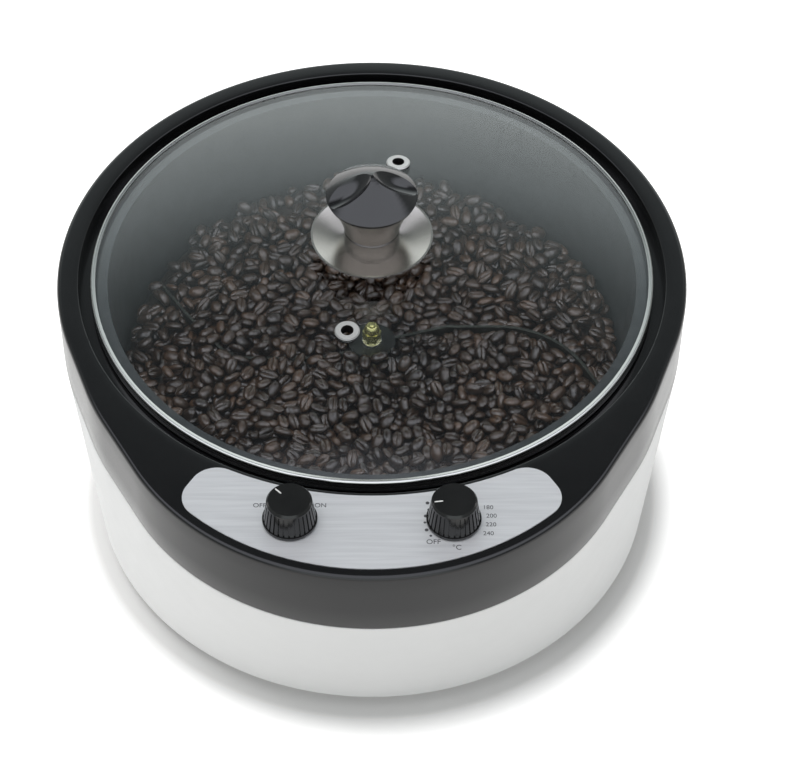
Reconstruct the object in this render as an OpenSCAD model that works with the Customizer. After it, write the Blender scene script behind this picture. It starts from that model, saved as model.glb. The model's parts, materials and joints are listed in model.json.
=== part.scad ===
// Countertop coffee bean roaster: a round pan with a turning stirrer under a lift-off
// glass lid, in a black upper housing that reaches forward as a control nose, on a
// white drum. Millimetres, +Z up, +X to the right, front towards -Y. The origin is on
// the table, in the middle of the footprint's box.

/* [Body] */
// Width of the deck beside and behind the lid's recess
deck_w = 11; // [9.5:0.5:15.5]
// Width of the deck in front of the lid's recess
nose_deck = 51.5; // [49.5:0.5:61.5]
// How much smaller the front curve's radius is than the round part's
nose_step = 30; // [26:0.5:35]
// How much smaller the cheeks' radius is than the round part's
cheek_step = 11; // [8.5:0.5:13.5]
// Distance of the cheeks' centre in front of the lid's axis
cheek_shift = 32; // [28:1:36]
// Height of the black upper housing
band_h = 39; // [34:1:50]
// Height of the white drum
drum_h = 131; // [128:1:150]
// How far the drum's foot draws in from the round part above it
drum_taper = 9.5; // [4.5:0.5:12.5]
// Rounding of the drum's bottom edge
drum_edge = 7; // [4:0.5:9]
// Wall of the drum
drum_wall = 2.5; // [2:0.1:3.5]
// Wall of the upper housing
shell_wall = 3; // [2:0.1:3.5]
// Thickness of the deck and of the ledge under the pan
deck_t = 3; // [2:0.1:4]
// Rounding of the deck's outer edge
deck_edge = 2.4; // [1:0.1:3]
// Depth of the lid's recess below the deck
recess_d = 8; // [7:0.5:11]
// Depth of the lip that reaches into the drum
lip_d = 6; // [4:0.5:10]

/* [Base] */
// Visible height of the rubber feet
foot_h = 5; // [4.5:0.5:8]
// Radius of a foot
foot_r = 8; // [6:0.5:9]
// How far the feet's middles stand inside the drum's foot
foot_inset = 18.5; // [17:0.5:20]
// Width of the drum's bottom from the feet's middles to its opening
floor_inset = 9.5; // [8.5:0.5:11]
// Thickness of the drum's bottom
drum_floor_t = 2.5; // [2:0.1:4]
// Width of the base plate outside the feet's middles
plate_edge = 6.5; // [5.5:0.5:7.5]
// Thickness of the base plate
plate_t = 1.5; // [1:0.1:2.5]
// Number of cooling slots in the base plate
slots = 18; // [12:1:24]
// Width of a cooling slot
slot_w = 3; // [2:0.5:3.5]
// Length of a cooling slot
slot_len = 26; // [20:1:30]

/* [Pan] */
// How far the pan's mouth lies inside the lid's outer edge
pan_inset = 9; // [8:0.5:10.5]
// How much narrower the pan is above its floor than at its mouth
pan_taper = 4.5; // [2.5:0.5:6.5]
// Depth of the pan
pan_depth = 71; // [66:1:74]
// Thickness of the pan
pan_wall = 2; // [1.5:0.1:2.5]
// Width of the pan's flange
pan_flange_w = 8.5; // [6:0.5:10]
// Thickness of the pan's flange
pan_flange_t = 1.5; // [1:0.1:2]
// Radius between the pan's floor and its wall
pan_corner = 10; // [6:1:10]
// Thickness of the seal under the flange
seal_t = 1; // [0.6:0.1:1.6]
// Width of the seal under the flange
seal_w = 4.5; // [3:0.5:5]
// Radius of the pan's middle boss at the floor
boss_foot_r = 10; // [9.6:0.1:10.4]
// Radius of the pan's middle boss at its top
boss_top_r = 9.5; // [9:0.1:9.6]

/* [Lid] */
// Outer radius of the lid's steel rim
lid_r = 144.5; // [143.5:0.5:145.5]
// Gap between the lid and the wall of its recess
lid_gap = 6; // [5:0.5:7]
// Width of the steel rim
rim_w = 2.6; // [2.4:0.1:4]
// Height of the steel rim
rim_h = 5.5; // [5.5:0.5:7]
// Wall of the steel rim outside the glass
rim_wall = 1.2; // [0.8:0.1:1.6]
// Height of the rim's fold over the glass
rim_fold = 0.8; // [0.6:0.1:1]
// Thickness of the glass
glass_t = 3.6; // [3:0.1:3.8]
// Rise of the glass dome inside the rim
dome_rise = 15.8; // [13:0.2:20]
// Distance of the rear steam vent from the lid's axis
rear_vent_r = 67; // [50:1:80]
// Distance of the front steam vent from the lid's axis
front_vent_r = 58.5; // [50:0.5:80]
// Turn of the pair of vents from the front-back line
vent_turn = 12; // [-40:1:40]
// Radius of a vent's hole
vent_hole_r = 3.2; // [2.5:0.1:3.5]
// Outer radius of a vent's eyelet
eyelet_r = 6.3; // [5.5:0.1:8]

/* [Lid knob] */
// Radius of the saucer under the knob
saucer_r = 31; // [26:0.5:36]
// Rise of the saucer's rim
saucer_rise = 8; // [5:0.5:10]
// Thickness of the saucer
saucer_t = 1; // [0.8:0.1:1.2]
// Radius of the stem's neck
neck_r = 14; // [12:0.5:15]
// Height of the stem's straight neck
neck_h = 12.7; // [2:0.1:16]
// Radius of the stem under the cap
stem_top_r = 21.5; // [19:0.5:22.5]
// Height of the stem
stem_h = 33; // [26:1:36]
// Radius of the knob's cap
cap_r = 23; // [22.5:0.5:27]
// Height of the knob's cap
cap_h = 15.5; // [13:0.5:18]
// Depth of the scoops below a straight slope of the cap
scoop_d = 3; // [1:0.1:4]

/* [Controls] */
// Distance of each control from the middle line
knob_x = 38.5; // [37:0.5:42]
// Distance of the controls in front of the lid's recess
knob_row = 17; // [16.5:0.5:19.5]
// Radius of a control knob at its skirt
knob_r = 13; // [12.5:0.1:14]
// Radius of a control knob's face
knob_face_r = 10.8; // [10.5:0.1:11.5]
// Height of a control knob
knob_h = 14.5; // [13:0.5:18]
// Number of ribs round a control knob
knob_ribs = 30; // [20:1:36]
// Gap between a control knob and the panel
knob_gap = 0.6; // [0.4:0.1:1]
// Radius of the control shafts
control_shaft_r = 3; // [2.8:0.1:3.2]
// Direction of the switch knob's pointer, from the right-hand side
switch_pointer = 135; // [90:1:180]
// Direction of the temperature knob's pointer, from the right-hand side
temperature_pointer = 188; // [150:1:235]
// Gap between the recess and the panel
panel_gap = 2.2; // [1.5:0.1:3]
// Distance of the panel from the body's outline
panel_margin = 5.5; // [5:0.5:7]
// Half of the angle that the panel spans
panel_angle = 31; // [29:0.5:33]
// Radius of the panel's corners
panel_corner = 13; // [8:0.5:13]
// Thickness of the panel
panel_t = 1; // [0.8:0.1:1.2]

/* [Stirrer] */
// Radius of the drive shaft
shaft_r = 4; // [3.8:0.1:4.2]
// Height of the blades
blade_h = 16.5; // [12:0.5:18]
// Thickness of the blades
blade_t = 1.6; // [1.2:0.1:2]
// Length of the long blade's root
long_root = 27; // [22:1:30]
// Straight length of the long blade
long_straight = 24; // [18:1:28]
// Bend radius of the long blade
long_bend_r = 50; // [44:1:54]
// Length of the long blade's tip
long_tip = 20; // [10:1:22]
// Length of the short blade's root
short_root = 8; // [6:1:12]
// Straight length of the short blade
short_straight = 32; // [28:1:34]
// Bend radius of the short blade
short_bend_r = 22; // [18:1:26]
// Length of the short blade's wide curve
short_curve = 48; // [40:1:50]
// Length of the short blade's tip
short_tip = 7; // [4:1:8]
// Gap between the blades and the pan's floor
blade_gap = 1; // [0.6:0.1:2]
// Radius of the hub
hub_r = 12.5; // [12.3:0.1:13.5]
// Thickness of the hub's top
hub_t = 2.5; // [2:0.1:3]
// Height of the dome nut
nut_h = 12; // [11:0.5:15]
// Radius of the shaft's thread
thread_r = 3; // [2.6:0.1:3.2]

/* [Drive] */
// Module of the gears
gear_module = 1.5; // [1.4:0.05:1.55]
// Teeth of the drive gear
gear_teeth = 36; // [34:2:38]
// Teeth of the motor pinion
pinion_teeth = 12; // [12:1:13]
// Width of the gears
gear_w = 8; // [6:0.5:8.5]
// Radius of the motor's can
motor_r = 27; // [26:0.5:28]
// Height of the motor's can
motor_h = 24; // [22:1:26]
// Height of the gear case
case_h = 16; // [15.5:0.5:18]
// Thickness of the gear case's floor and cover
case_t = 2; // [1.6:0.1:2.4]
// Thickness of the motor bracket
bracket_t = 2; // [1.5:0.1:2.5]

/* [Heater] */
// Radius of the heating ring
heater_r = 85; // [80:1:88]
// Radius of the heating tube
heater_tube_r = 4; // [3.5:0.1:4.5]
// Thickness of the heat shield
shield_t = 0.8; // [0.6:0.1:1.2]
// Width of the heat shield outside the posts
shield_edge = 6.5; // [4:0.5:8]
// Gap between the pan's underside and the heat shield
shield_gap = 14; // [13:0.5:16]
// Gap between the heat shield and the motor bracket
bracket_gap = 14; // [12:0.5:16]
// How far the posts' middles stand inside the drum's opening
post_inset = 10; // [9:0.5:12]
// Radius of the posts
post_r = 5.5; // [5:0.1:6]

/* [Fits] */
// Radial clearance of a shaft in its bearing
run_fit = 0.05; // [0.03:0.01:0.08]
// Radial clearance of a screw in its hole
screw_fit = 0.2; // [0.1:0.05:0.3]
// Clearance between parts that slide together
slide_fit = 0.3; // [0.2:0.05:0.4]
// Backlash of the gears, taken off each flank
backlash = 0.12; // [0.08:0.01:0.16]

/* [Hidden] */
$fn = 96;
eps = 0.01;
over = 1;               // how far a cutting solid runs past what it cuts
outline_fn = 120;       // sides of the large outline curves

// what follows the lid: its recess, the body round it, the drum, the pan and the controls
recess_r = lid_r + lid_gap;
body_r = recess_r + deck_w;
nose_reach = recess_r + nose_deck;
nose_r = body_r - nose_step;
cheek_r = body_r - cheek_step;
drum_foot_r = body_r - drum_taper;
pan_mouth_r = lid_r - pan_inset;
pan_floor_r = pan_mouth_r - pan_taper;
knob_y = recess_r + knob_row;

// plan outline: three circles, each with its distance in front of the axis and its radius
plan_circles = [[0, body_r], [cheek_shift, cheek_r], [nose_reach - nose_r, nose_r]];
axis_y = (nose_reach - body_r) / 2;     // the lid's axis lies this far behind the origin

// levels, from the table up
drum_z = foot_h;
plate_z = drum_z + drum_floor_t;
plate_top_z = plate_z + plate_t;
seam_z = drum_z + drum_h;
deck_z = seam_z + band_h;
ledge_z = deck_z - recess_d;
flange_z = ledge_z + seal_t;
lid_seat_z = flange_z + pan_flange_t;
floor_z = lid_seat_z - pan_depth;
pan_under_z = floor_z - pan_wall;
shield_top_z = pan_under_z - shield_gap;
shield_z = shield_top_z - shield_t;
bracket_top_z = shield_z - bracket_gap;
bracket_z = bracket_top_z - bracket_t;
cover_z = bracket_z - case_t;
case_z = cover_z - case_h;
motor_z = case_z - motor_h;

// widths and places
pan_outer_r = pan_mouth_r + pan_wall;
pan_hole_r = pan_outer_r + 1;
foot_ring_r = drum_foot_r - foot_inset;
drum_hole_r = foot_ring_r - floor_inset;
plate_r = foot_ring_r + plate_edge;
slot_start = plate_r - slot_len - 44;
post_ring_r = drum_hole_r - post_inset;
shield_r = post_ring_r + post_r + shield_edge;
foot_angles = [45, 135, 225, 315];
post_angles = [30, 150, 270];
gland_r = 8;
gland_bore_r = 3.6;
gland_z = 28;
gland_wall_y = drum_foot_r + (body_r - drum_foot_r) * (gland_z - drum_z - drum_edge) / drum_h;

// stirrer levels
blade_z = floor_z + blade_gap;
hub_z = blade_z + blade_h;
hub_top_z = hub_z + hub_t;
shaft_seal_t = 1.2;
boss_top_z = hub_z - shaft_seal_t - 0.4;
bush_r = shaft_r + 2.5;
barrel_wall = 1.5;
washer_t = 1;
thread_depth = nut_h - 5;       // how far the thread reaches into the dome nut
thread_flats = 2 * thread_r - 0.8;

// gears
pressure_angle = 25;
gear_pitch_r = gear_module * gear_teeth / 2;
pinion_pitch_r = gear_module * pinion_teeth / 2;
motor_y = gear_pitch_r + pinion_pitch_r;
gear_z = case_z + case_t + 3;
motor_shaft_r = 2.5;
can_wall = 1.5;
small_screw_r = 1.5;
ear_x = motor_r + 5;
ear_r = 4;
case_screws = [[-24, -24], [24, -24], [-25, motor_y + 16], [25, motor_y + 16]];
case_rear_r = ear_x + ear_r + 1;
case_front_r = 37;
clip_z = case_z - 1.2;
clip_t = 1;
clip_bore_r = shaft_r - 0.8;

// lid levels
rim_top_z = lid_seat_z + rim_h;
glass_edge_r = lid_r - rim_wall;
dome_half = lid_r - rim_w;
dome_foot_z = rim_top_z - rim_fold;
dome_top_z = dome_foot_z + dome_rise;
dome_ball_r = (dome_half * dome_half + dome_rise * dome_rise) / (2 * dome_rise);
dome_ball_z = dome_top_z - dome_ball_r;
stem_z = dome_top_z + saucer_t;
stem_wall = 1.2;
cap_z = stem_z + stem_h;
knob_screw_r = 2.5;
knob_screw_h = 20;

// controls
panel_z = deck_z - 0.5;
panel_top_z = panel_z + panel_t;
neck_screw_r = 4.5;
neck_top_z = panel_top_z + 4;
control_nut_t = 2.4;
knob_z = panel_top_z + knob_gap;
control_z = deck_z - deck_t;
switch_r = 13;
switch_h = 18;
thermostat_r = 14;
thermostat_h = 24;
tab_h = 6;
tab_x = 6;

// heater and sensor
heater_z = pan_under_z - slide_fit - heater_tube_r;
heater_gap = 30;
heater_ends = [270 + heater_gap / 2, 270 - heater_gap / 2];
heater_pin_r = 3.4;
heater_pin_z = shield_z - 8;
clamp_angles = [0, 120, 240];
strap_t = 1.5;
bulb_r = 3;
bulb_len = 50;
bulb_ring_r = 58;
bulb_z = pan_under_z - slide_fit - bulb_r;
bulb_turn = 300;
fuse_ring_r = 48;
fuse_turn = 200;
fuse_len = 14;

// screws and nuts
screw_r = 2;
screw_head_r = 3.8;
screw_head_h = 2;
nut_t = 3;
nut_corner_r = 4;
nut_facets = 6;
head_depth = 3;         // how deep the foot's screw head lies above the table

// wiring
wire_r = 1.2;
wire_sides = 8;
block_y = drum_hole_r - 12;
block_size = [44, 14, 12];
climb_r = (pan_outer_r + drum_foot_r - drum_wall) / 2;      // midway from pan to drum
wire_ring_r = foot_ring_r - nut_corner_r - wire_r;          // where the wires pass the feet

// ---- helpers ----

// moves a piece from the lid's axis to its place over the origin
module placed() {
    translate([0, axis_y, 0]) children();
}

// repeats a piece at one radius under each angle, without turning it
module ring_of(angles, radius) {
    for (a = angles)
        translate([radius * cos(a), radius * sin(a), 0]) children();
}

// a closed ring of rectangular section
module ring(z0, z1, inner_r, outer_r) {
    translate([0, 0, z0]) difference() {
        cylinder(h = z1 - z0, r = outer_r);
        translate([0, 0, -over]) cylinder(h = z1 - z0 + 2 * over, r = inner_r);
    }
}

// a hexagon nut with a round bore
module nut(z, bore_r) {
    translate([0, 0, z]) difference() {
        cylinder(h = nut_t, r = nut_corner_r, $fn = nut_facets);
        translate([0, 0, -over]) cylinder(h = nut_t + 2 * over, r = bore_r);
    }
}

// a screw with its head's underside at z, its shank going up (way 1) or down (way -1)
module screw(z, shank_h, shank_r, head_r, head_h, way = 1) {
    translate([0, 0, way > 0 ? z : z - shank_h]) cylinder(h = shank_h, r = shank_r);
    translate([0, 0, way > 0 ? z - head_h : z]) cylinder(h = head_h, r = head_r);
}

// points of an arc in a profile
function arc(x, y, r, a0, a1, n) =
    [for (i = [0 : n]) [x + r * cos(a0 + (a1 - a0) * i / n), y + r * sin(a0 + (a1 - a0) * i / n)]];

// a point given by its angle and radius round the lid's axis, and its height
function polar(a, r, z) = [r * cos(a), r * sin(a), z];

// the cross directions along a tube's run, each turned as little as its bends allow
function unit(v) = v / norm(v);
function frames(run, i, last) = i == len(run) ? [] :
    let (u = unit(last - run[i] * (last * run[i]))) concat([u], frames(run, i + 1, u));

// a tube swept along points, as one closed solid
module tube(points, r, sides = wire_sides) {
    n = len(points);
    run = [for (i = [0 : n - 1]) unit(points[min(i + 1, n - 1)] - points[max(i - 1, 0)])];
    start = abs(run[0][2]) > 0.9 ? [1, 0, 0] : [0, 0, 1];
    across = frames(run, 0, start);
    rings = [for (i = [0 : n - 1], k = [0 : sides - 1])
        let (a = 360 * k / sides)
            points[i] + r * cos(a) * across[i] + r * sin(a) * cross(run[i], across[i])];
    walls = [for (i = [0 : n - 2], k = [0 : sides - 1], half = [0, 1])
        let (a = i * sides + k, b = i * sides + (k + 1) % sides)
            half == 0 ? [a, a + sides, b] : [b, a + sides, b + sides]];
    first = [[for (k = [0 : sides - 1]) k]];
    final = [[for (k = [0 : sides - 1]) n * sides - 1 - k]];
    polyhedron(rings, concat(walls, first, final));
}

// the body's outline in plan, drawn in by inset
module outline(inset) {
    hull() for (c = plan_circles)
        translate([0, -c[0]]) circle(r = c[1] - inset, $fn = outline_fn);
}

// an upright solid with the body's outline
module outline_solid(z0, z1, inset = 0) {
    translate([0, 0, z0]) linear_extrude(z1 - z0) outline(inset);
}

// the rounded top edge of a solid with the body's outline, down from z1
module outline_crown(z1, edge) {
    turns = [0, 30, 60, 90];
    hull() for (c = plan_circles, i = [0 : 2])
        translate([0, -c[0], z1 - edge * (1 - sin(turns[i]))])
            cylinder(h = edge * (sin(turns[i + 1]) - sin(turns[i])),
                     r1 = c[1] - edge * (1 - cos(turns[i])),
                     r2 = c[1] - edge * (1 - cos(turns[i + 1])), $fn = outline_fn);
}

// the drum's form: the body's outline at the top, a rounded circle at the foot
module drum_solid(inset, bottom_z, top_z) {
    hull() {
        for (c = plan_circles)
            translate([0, -c[0], top_z - eps])
                cylinder(h = eps, r = c[1] - inset, $fn = outline_fn);
        for (a = [0, 30, 60, 90])
            translate([0, 0, max(bottom_z, drum_z + drum_edge * (1 - sin(a)))])
                cylinder(h = eps, r = drum_foot_r - inset - drum_edge * (1 - cos(a)),
                         $fn = outline_fn);
    }
}

// ---- housings ----

// the lip that keeps the upper housing in line with the drum
module housing_lip() {
    lip_in = drum_wall + slide_fit;
    lip_t = 1.6;
    hold_h = 2;
    intersection() {
        difference() {
            drum_solid(lip_in, drum_z, seam_z + hold_h);
            drum_solid(lip_in + lip_t, drum_z, seam_z + hold_h + eps);
        }
        translate([-body_r, -2 * body_r, seam_z - lip_d])
            cube([2 * body_r, 4 * body_r, lip_d + hold_h]);
    }
}

module upper_housing() {
    color([0.10, 0.10, 0.11]) placed() difference() {
        union() {
            difference() {
                union() {
                    outline_solid(seam_z, deck_z - deck_edge);
                    outline_crown(deck_z, deck_edge);
                }
                outline_solid(seam_z - over, control_z, shell_wall);
            }
            housing_lip();
            ring(ledge_z - deck_t, control_z + eps, pan_hole_r, recess_r + shell_wall);
        }
        translate([0, 0, ledge_z]) cylinder(h = recess_d + over, r = recess_r);
        translate([0, 0, panel_z]) panel_plate(panel_t + over, 0.15);
        for (side = [-1, 1])
            translate([side * knob_x, -knob_y, control_z - over])
                cylinder(h = deck_t + 2 * over, r = neck_screw_r + screw_fit);
    }
}

module drum() {
    color([0.93, 0.93, 0.92]) placed() difference() {
        drum_solid(0, drum_z, seam_z);
        drum_solid(drum_wall, plate_z, seam_z + eps);
        translate([0, 0, drum_z - over]) cylinder(h = drum_floor_t + 2 * over, r = drum_hole_r);
        ring_of(foot_angles, foot_ring_r)
            translate([0, 0, drum_z - over])
                cylinder(h = drum_floor_t + 2 * over, r = screw_r + screw_fit);
        translate([0, gland_wall_y, gland_z]) rotate([90, 0, 0])
            cylinder(h = 20, r = gland_r, center = true);
    }
}

module base_plate() {
    color([0.55, 0.56, 0.58]) placed() difference() {
        translate([0, 0, plate_z]) cylinder(h = plate_t, r = plate_r);
        for (i = [0 : slots - 1])
            rotate((i + 0.5) * 360 / slots) translate([slot_start, -slot_w / 2, plate_z - over])
                cube([slot_len, slot_w, plate_t + 2 * over]);
        ring_of(foot_angles, foot_ring_r)
            translate([0, 0, plate_z - over])
                cylinder(h = plate_t + 2 * over, r = screw_r + screw_fit);
        ring_of(post_angles, post_ring_r)
            translate([0, 0, plate_z - over])
                cylinder(h = plate_t + 2 * over, r = screw_r + screw_fit);
    }
}

module rubber_feet() {
    color([0.12, 0.12, 0.12]) placed() ring_of(foot_angles, foot_ring_r) difference() {
        cylinder(h = foot_h, r1 = foot_r - 0.8, r2 = foot_r);
        translate([0, 0, -over]) cylinder(h = head_depth + over, r = screw_head_r + 0.6);
        translate([0, 0, -over]) cylinder(h = foot_h + 2 * over, r = screw_r + screw_fit);
    }
}

module foot_screws() {
    color("silver") placed() ring_of(foot_angles, foot_ring_r)
        screw(head_depth, plate_top_z + nut_t + over - head_depth, screw_r, screw_head_r,
              screw_head_h);
}

module foot_nuts() {
    color("silver") placed() ring_of(foot_angles, foot_ring_r) nut(plate_top_z, screw_r);
}

// ---- control nose ----

// the panel's crescent between the recess and the body's outline, with round ends
module panel_plate(thickness, grow = 0) {
    reach = 2 * nose_reach;
    linear_extrude(thickness)
        offset(r = panel_corner + grow) offset(delta = -panel_corner) difference() {
            outline(panel_margin);
            circle(r = recess_r + panel_gap, $fn = 180);
            for (side = [-1, 1])
                polygon([[0, 0], [side * reach * sin(panel_angle), -reach * cos(panel_angle)],
                         [side * reach, 0], [side * reach, reach], [0, reach]]);
        }
}

module control_panel() {
    color([0.78, 0.78, 0.79]) placed() difference() {
        translate([0, 0, panel_z]) panel_plate(panel_t);
        for (side = [-1, 1])
            translate([side * knob_x, -knob_y, panel_z - over])
                cylinder(h = panel_t + 2 * over, r = neck_screw_r + screw_fit);
    }
}

// a rotary control under the deck: round body, screwed neck, bore for its shaft, two tabs
module control_case(side, case_r, height) {
    bottom_z = control_z - height;
    translate([side * knob_x, -knob_y, 0]) difference() {
        union() {
            translate([0, 0, bottom_z]) cylinder(h = height, r = case_r);
            translate([0, 0, bottom_z]) cylinder(h = neck_top_z - bottom_z, r = neck_screw_r);
            for (x = [-tab_x, tab_x])
                translate([x - 0.4, -3, bottom_z - tab_h]) cube([0.8, 6, tab_h + over]);
        }
        translate([0, 0, bottom_z + 4])
            cylinder(h = neck_top_z - bottom_z, r = control_shaft_r + run_fit);
    }
}

module switch_case() {
    color([0.16, 0.16, 0.17]) placed() control_case(-1, switch_r, switch_h);
}

module thermostat_case() {
    color([0.72, 0.68, 0.60]) placed() control_case(1, thermostat_r, thermostat_h);
}

module control_nuts() {
    color("silver") placed() for (side = [-1, 1])
        translate([side * knob_x, -knob_y, panel_top_z]) difference() {
            cylinder(h = control_nut_t, r = 7, $fn = nut_facets);
            translate([0, 0, -over]) cylinder(h = control_nut_t + 2 * over, r = neck_screw_r);
        }
}

module control_shaft(side, height) {
    bottom_z = control_z - height + 4 + slide_fit;
    translate([side * knob_x, -knob_y, bottom_z])
        cylinder(h = knob_z + knob_h - 4 - bottom_z, r = control_shaft_r);
}

module switch_shaft() {
    color("silver") placed() control_shaft(-1, switch_h);
}

module temperature_shaft() {
    color("silver") placed() control_shaft(1, thermostat_h);
}

// a control knob with a ribbed, tapered skirt and a pointer groove
module control_knob(side, pointer) {
    skirt_r = knob_r - 0.5;
    base_h = 1.2;
    face_edge = 1.2;
    skirt_h = knob_h - base_h - face_edge;
    lean = atan((skirt_r - knob_face_r) / skirt_h);
    rib_d = 0.55;
    cavity_h = neck_top_z - knob_z + 1;
    translate([side * knob_x, -knob_y, knob_z]) difference() {
        union() {
            cylinder(h = base_h, r = knob_r);
            translate([0, 0, base_h]) cylinder(h = skirt_h, r1 = skirt_r, r2 = knob_face_r);
            translate([0, 0, knob_h - face_edge])
                cylinder(h = face_edge, r1 = knob_face_r, r2 = knob_face_r - 0.9);
        }
        for (i = [0 : knob_ribs - 1])
            rotate((i + 0.5) * 360 / knob_ribs)
                translate([skirt_r, 0, base_h]) rotate([0, -lean, 0])
                    translate([-rib_d, -0.4, 0]) cube([rib_d + over, 0.8, skirt_h - 0.6]);
        translate([0, 0, -over]) cylinder(h = cavity_h + over, r = 8.2);
        translate([0, 0, -over]) cylinder(h = knob_h - 4 + over, r = control_shaft_r);
        rotate(pointer) translate([knob_face_r * 0.45, -0.5, knob_h - 0.4])
            cube([knob_r, 1, over]);
    }
}

module switch_knob() {
    color([0.08, 0.08, 0.08]) placed() control_knob(-1, switch_pointer);
}

module temperature_knob() {
    color([0.08, 0.08, 0.08]) placed() control_knob(1, temperature_pointer);
}

// ---- pan and heater ----

module pan_seal() {
    color([0.45, 0.12, 0.10]) placed()
        ring(ledge_z, flange_z, pan_hole_r, pan_hole_r + seal_w);
}

module pan() {
    arc_r = pan_floor_r - pan_corner;
    arc_z = floor_z + pan_corner;
    color([0.25, 0.25, 0.26]) placed() rotate_extrude() polygon(concat(
        [[bush_r, pan_under_z], [bush_r, boss_top_z], [boss_top_r, boss_top_z],
         [boss_foot_r, floor_z]],
        arc(arc_r, arc_z, pan_corner, -90, 0, 6),
        [[pan_mouth_r, lid_seat_z], [pan_mouth_r + pan_flange_w, lid_seat_z],
         [pan_mouth_r + pan_flange_w, flange_z], [pan_outer_r, flange_z]],
        arc(arc_r, arc_z, pan_corner + pan_wall, 0, -90, 6)));
}

module shaft_bush() {
    color([0.80, 0.62, 0.30]) placed()
        ring(pan_under_z - 2, boss_top_z, shaft_r + run_fit, bush_r);
}

module shaft_seal() {
    color([0.45, 0.12, 0.10]) placed()
        ring(boss_top_z, boss_top_z + shaft_seal_t, shaft_r + run_fit, boss_top_r - 1);
}

module heating_element() {
    color([0.35, 0.34, 0.33]) placed() {
        rotate(heater_ends[0]) rotate_extrude(angle = 360 - heater_gap)
            translate([heater_r, heater_z]) circle(r = heater_tube_r);
        ring_of(heater_ends, heater_r)
            translate([0, 0, heater_pin_z])
                cylinder(h = heater_z - heater_pin_z, r = heater_pin_r);
    }
}

// a strap that holds a tube of the given radius up against the pan
module strap(tube_r, tube_z, width) {
    leg_x = tube_r + slide_fit;
    strap_z = tube_z - tube_r - 0.2 - strap_t;
    translate([-leg_x - strap_t, -width / 2, strap_z])
        cube([2 * (leg_x + strap_t), width, strap_t]);
    for (x = [-leg_x - strap_t, leg_x])
        translate([x, -width / 2, strap_z]) cube([strap_t, width, pan_under_z - strap_z]);
}

module element_clamps() {
    color("silver") placed() for (a = clamp_angles)
        rotate(a) translate([heater_r, 0, 0]) strap(heater_tube_r, heater_z, 10);
}

module heat_shield() {
    color([0.75, 0.76, 0.78]) placed() difference() {
        union() {
            translate([0, 0, shield_z]) cylinder(h = shield_t, r = shield_r);
            ring(shield_z - 6, shield_z + eps, shield_r - shield_t, shield_r);
        }
        translate([0, 0, shield_z - over]) cylinder(h = shield_t + 2 * over, r = shaft_r + 4);
        ring_of(post_angles, post_ring_r)
            translate([0, 0, shield_z - over])
                cylinder(h = shield_t + 2 * over, r = screw_r + screw_fit);
        ring_of(heater_ends, heater_r)
            translate([0, 0, shield_z - over])
                cylinder(h = shield_t + 2 * over, r = heater_pin_r + 2);
    }
}

module pan_studs() {
    color("silver") placed() ring_of(post_angles, post_ring_r)
        ring(shield_top_z, pan_under_z, screw_r, post_r);
}

module upper_posts() {
    color("silver") placed() ring_of(post_angles, post_ring_r)
        ring(bracket_top_z, shield_z, screw_r + screw_fit, post_r);
}

module lower_posts() {
    color("silver") placed() ring_of(post_angles, post_ring_r)
        ring(plate_top_z, bracket_z, screw_r + screw_fit, post_r);
}

module tie_screws() {
    color("silver") placed() ring_of(post_angles, post_ring_r)
        screw(plate_z, pan_under_z - 2 - plate_z, screw_r, screw_head_r, screw_head_h);
}

// ---- drive ----

module motor_bracket() {
    arm_w = 20;
    color([0.60, 0.61, 0.63]) placed() difference() {
        union() {
            translate([-case_rear_r, -case_front_r, bracket_z])
                cube([2 * case_rear_r, case_front_r + motor_y + case_rear_r, bracket_t]);
            for (a = post_angles)
                rotate(a) translate([0, -arm_w / 2, bracket_z])
                    cube([post_ring_r + arm_w / 2, arm_w, bracket_t]);
        }
        translate([0, 0, bracket_z - over]) cylinder(h = bracket_t + 2 * over, r = shaft_r + 2);
        ring_of(post_angles, post_ring_r)
            translate([0, 0, bracket_z - over])
                cylinder(h = bracket_t + 2 * over, r = screw_r + screw_fit);
        for (p = case_screws)
            translate([p[0], p[1], bracket_z - over])
                cylinder(h = bracket_t + 2 * over, r = small_screw_r + screw_fit);
    }
}

// the outline that the gear case and its cover share
module case_block(z0, height) {
    hull() {
        translate([0, 0, z0]) cylinder(h = height, r = case_front_r, $fn = 64);
        translate([0, motor_y, z0]) cylinder(h = height, r = case_rear_r, $fn = 64);
    }
}

module gear_case() {
    room_z = case_z + case_t;
    tip_gap = gear_module + 2;
    color([0.70, 0.71, 0.73]) placed() difference() {
        case_block(case_z, case_h);
        difference() {
            union() {
                translate([0, 0, room_z]) cylinder(h = case_h, r = gear_pitch_r + tip_gap);
                translate([0, motor_y, room_z])
                    cylinder(h = case_h, r = pinion_pitch_r + tip_gap);
            }
            translate([0, 0, room_z - over])
                cylinder(h = gear_z - slide_fit - room_z + over, r = shaft_r + 4);
        }
        translate([0, 0, case_z - over]) cylinder(h = case_h, r = shaft_r + run_fit);
        translate([0, motor_y, case_z - over])
            cylinder(h = case_h, r = motor_shaft_r + run_fit);
        for (p = case_screws)
            translate([p[0], p[1], case_z + 4]) cylinder(h = case_h, r = small_screw_r);
        for (x = [-ear_x, ear_x])
            translate([x, motor_y, case_z - over]) cylinder(h = 9 + over, r = small_screw_r);
    }
}

module gear_cover() {
    color([0.70, 0.71, 0.73]) placed() difference() {
        case_block(cover_z, case_t);
        translate([0, 0, cover_z - over]) cylinder(h = case_t + 2 * over, r = shaft_r + run_fit);
        for (p = case_screws)
            translate([p[0], p[1], cover_z - over])
                cylinder(h = case_t + 2 * over, r = small_screw_r + screw_fit);
    }
}

module gear_screws() {
    color("silver") placed() for (p = case_screws)
        translate([p[0], p[1], 0])
            screw(bracket_top_z, bracket_t + case_t + 9, small_screw_r, 3, screw_head_h, -1);
}

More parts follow.
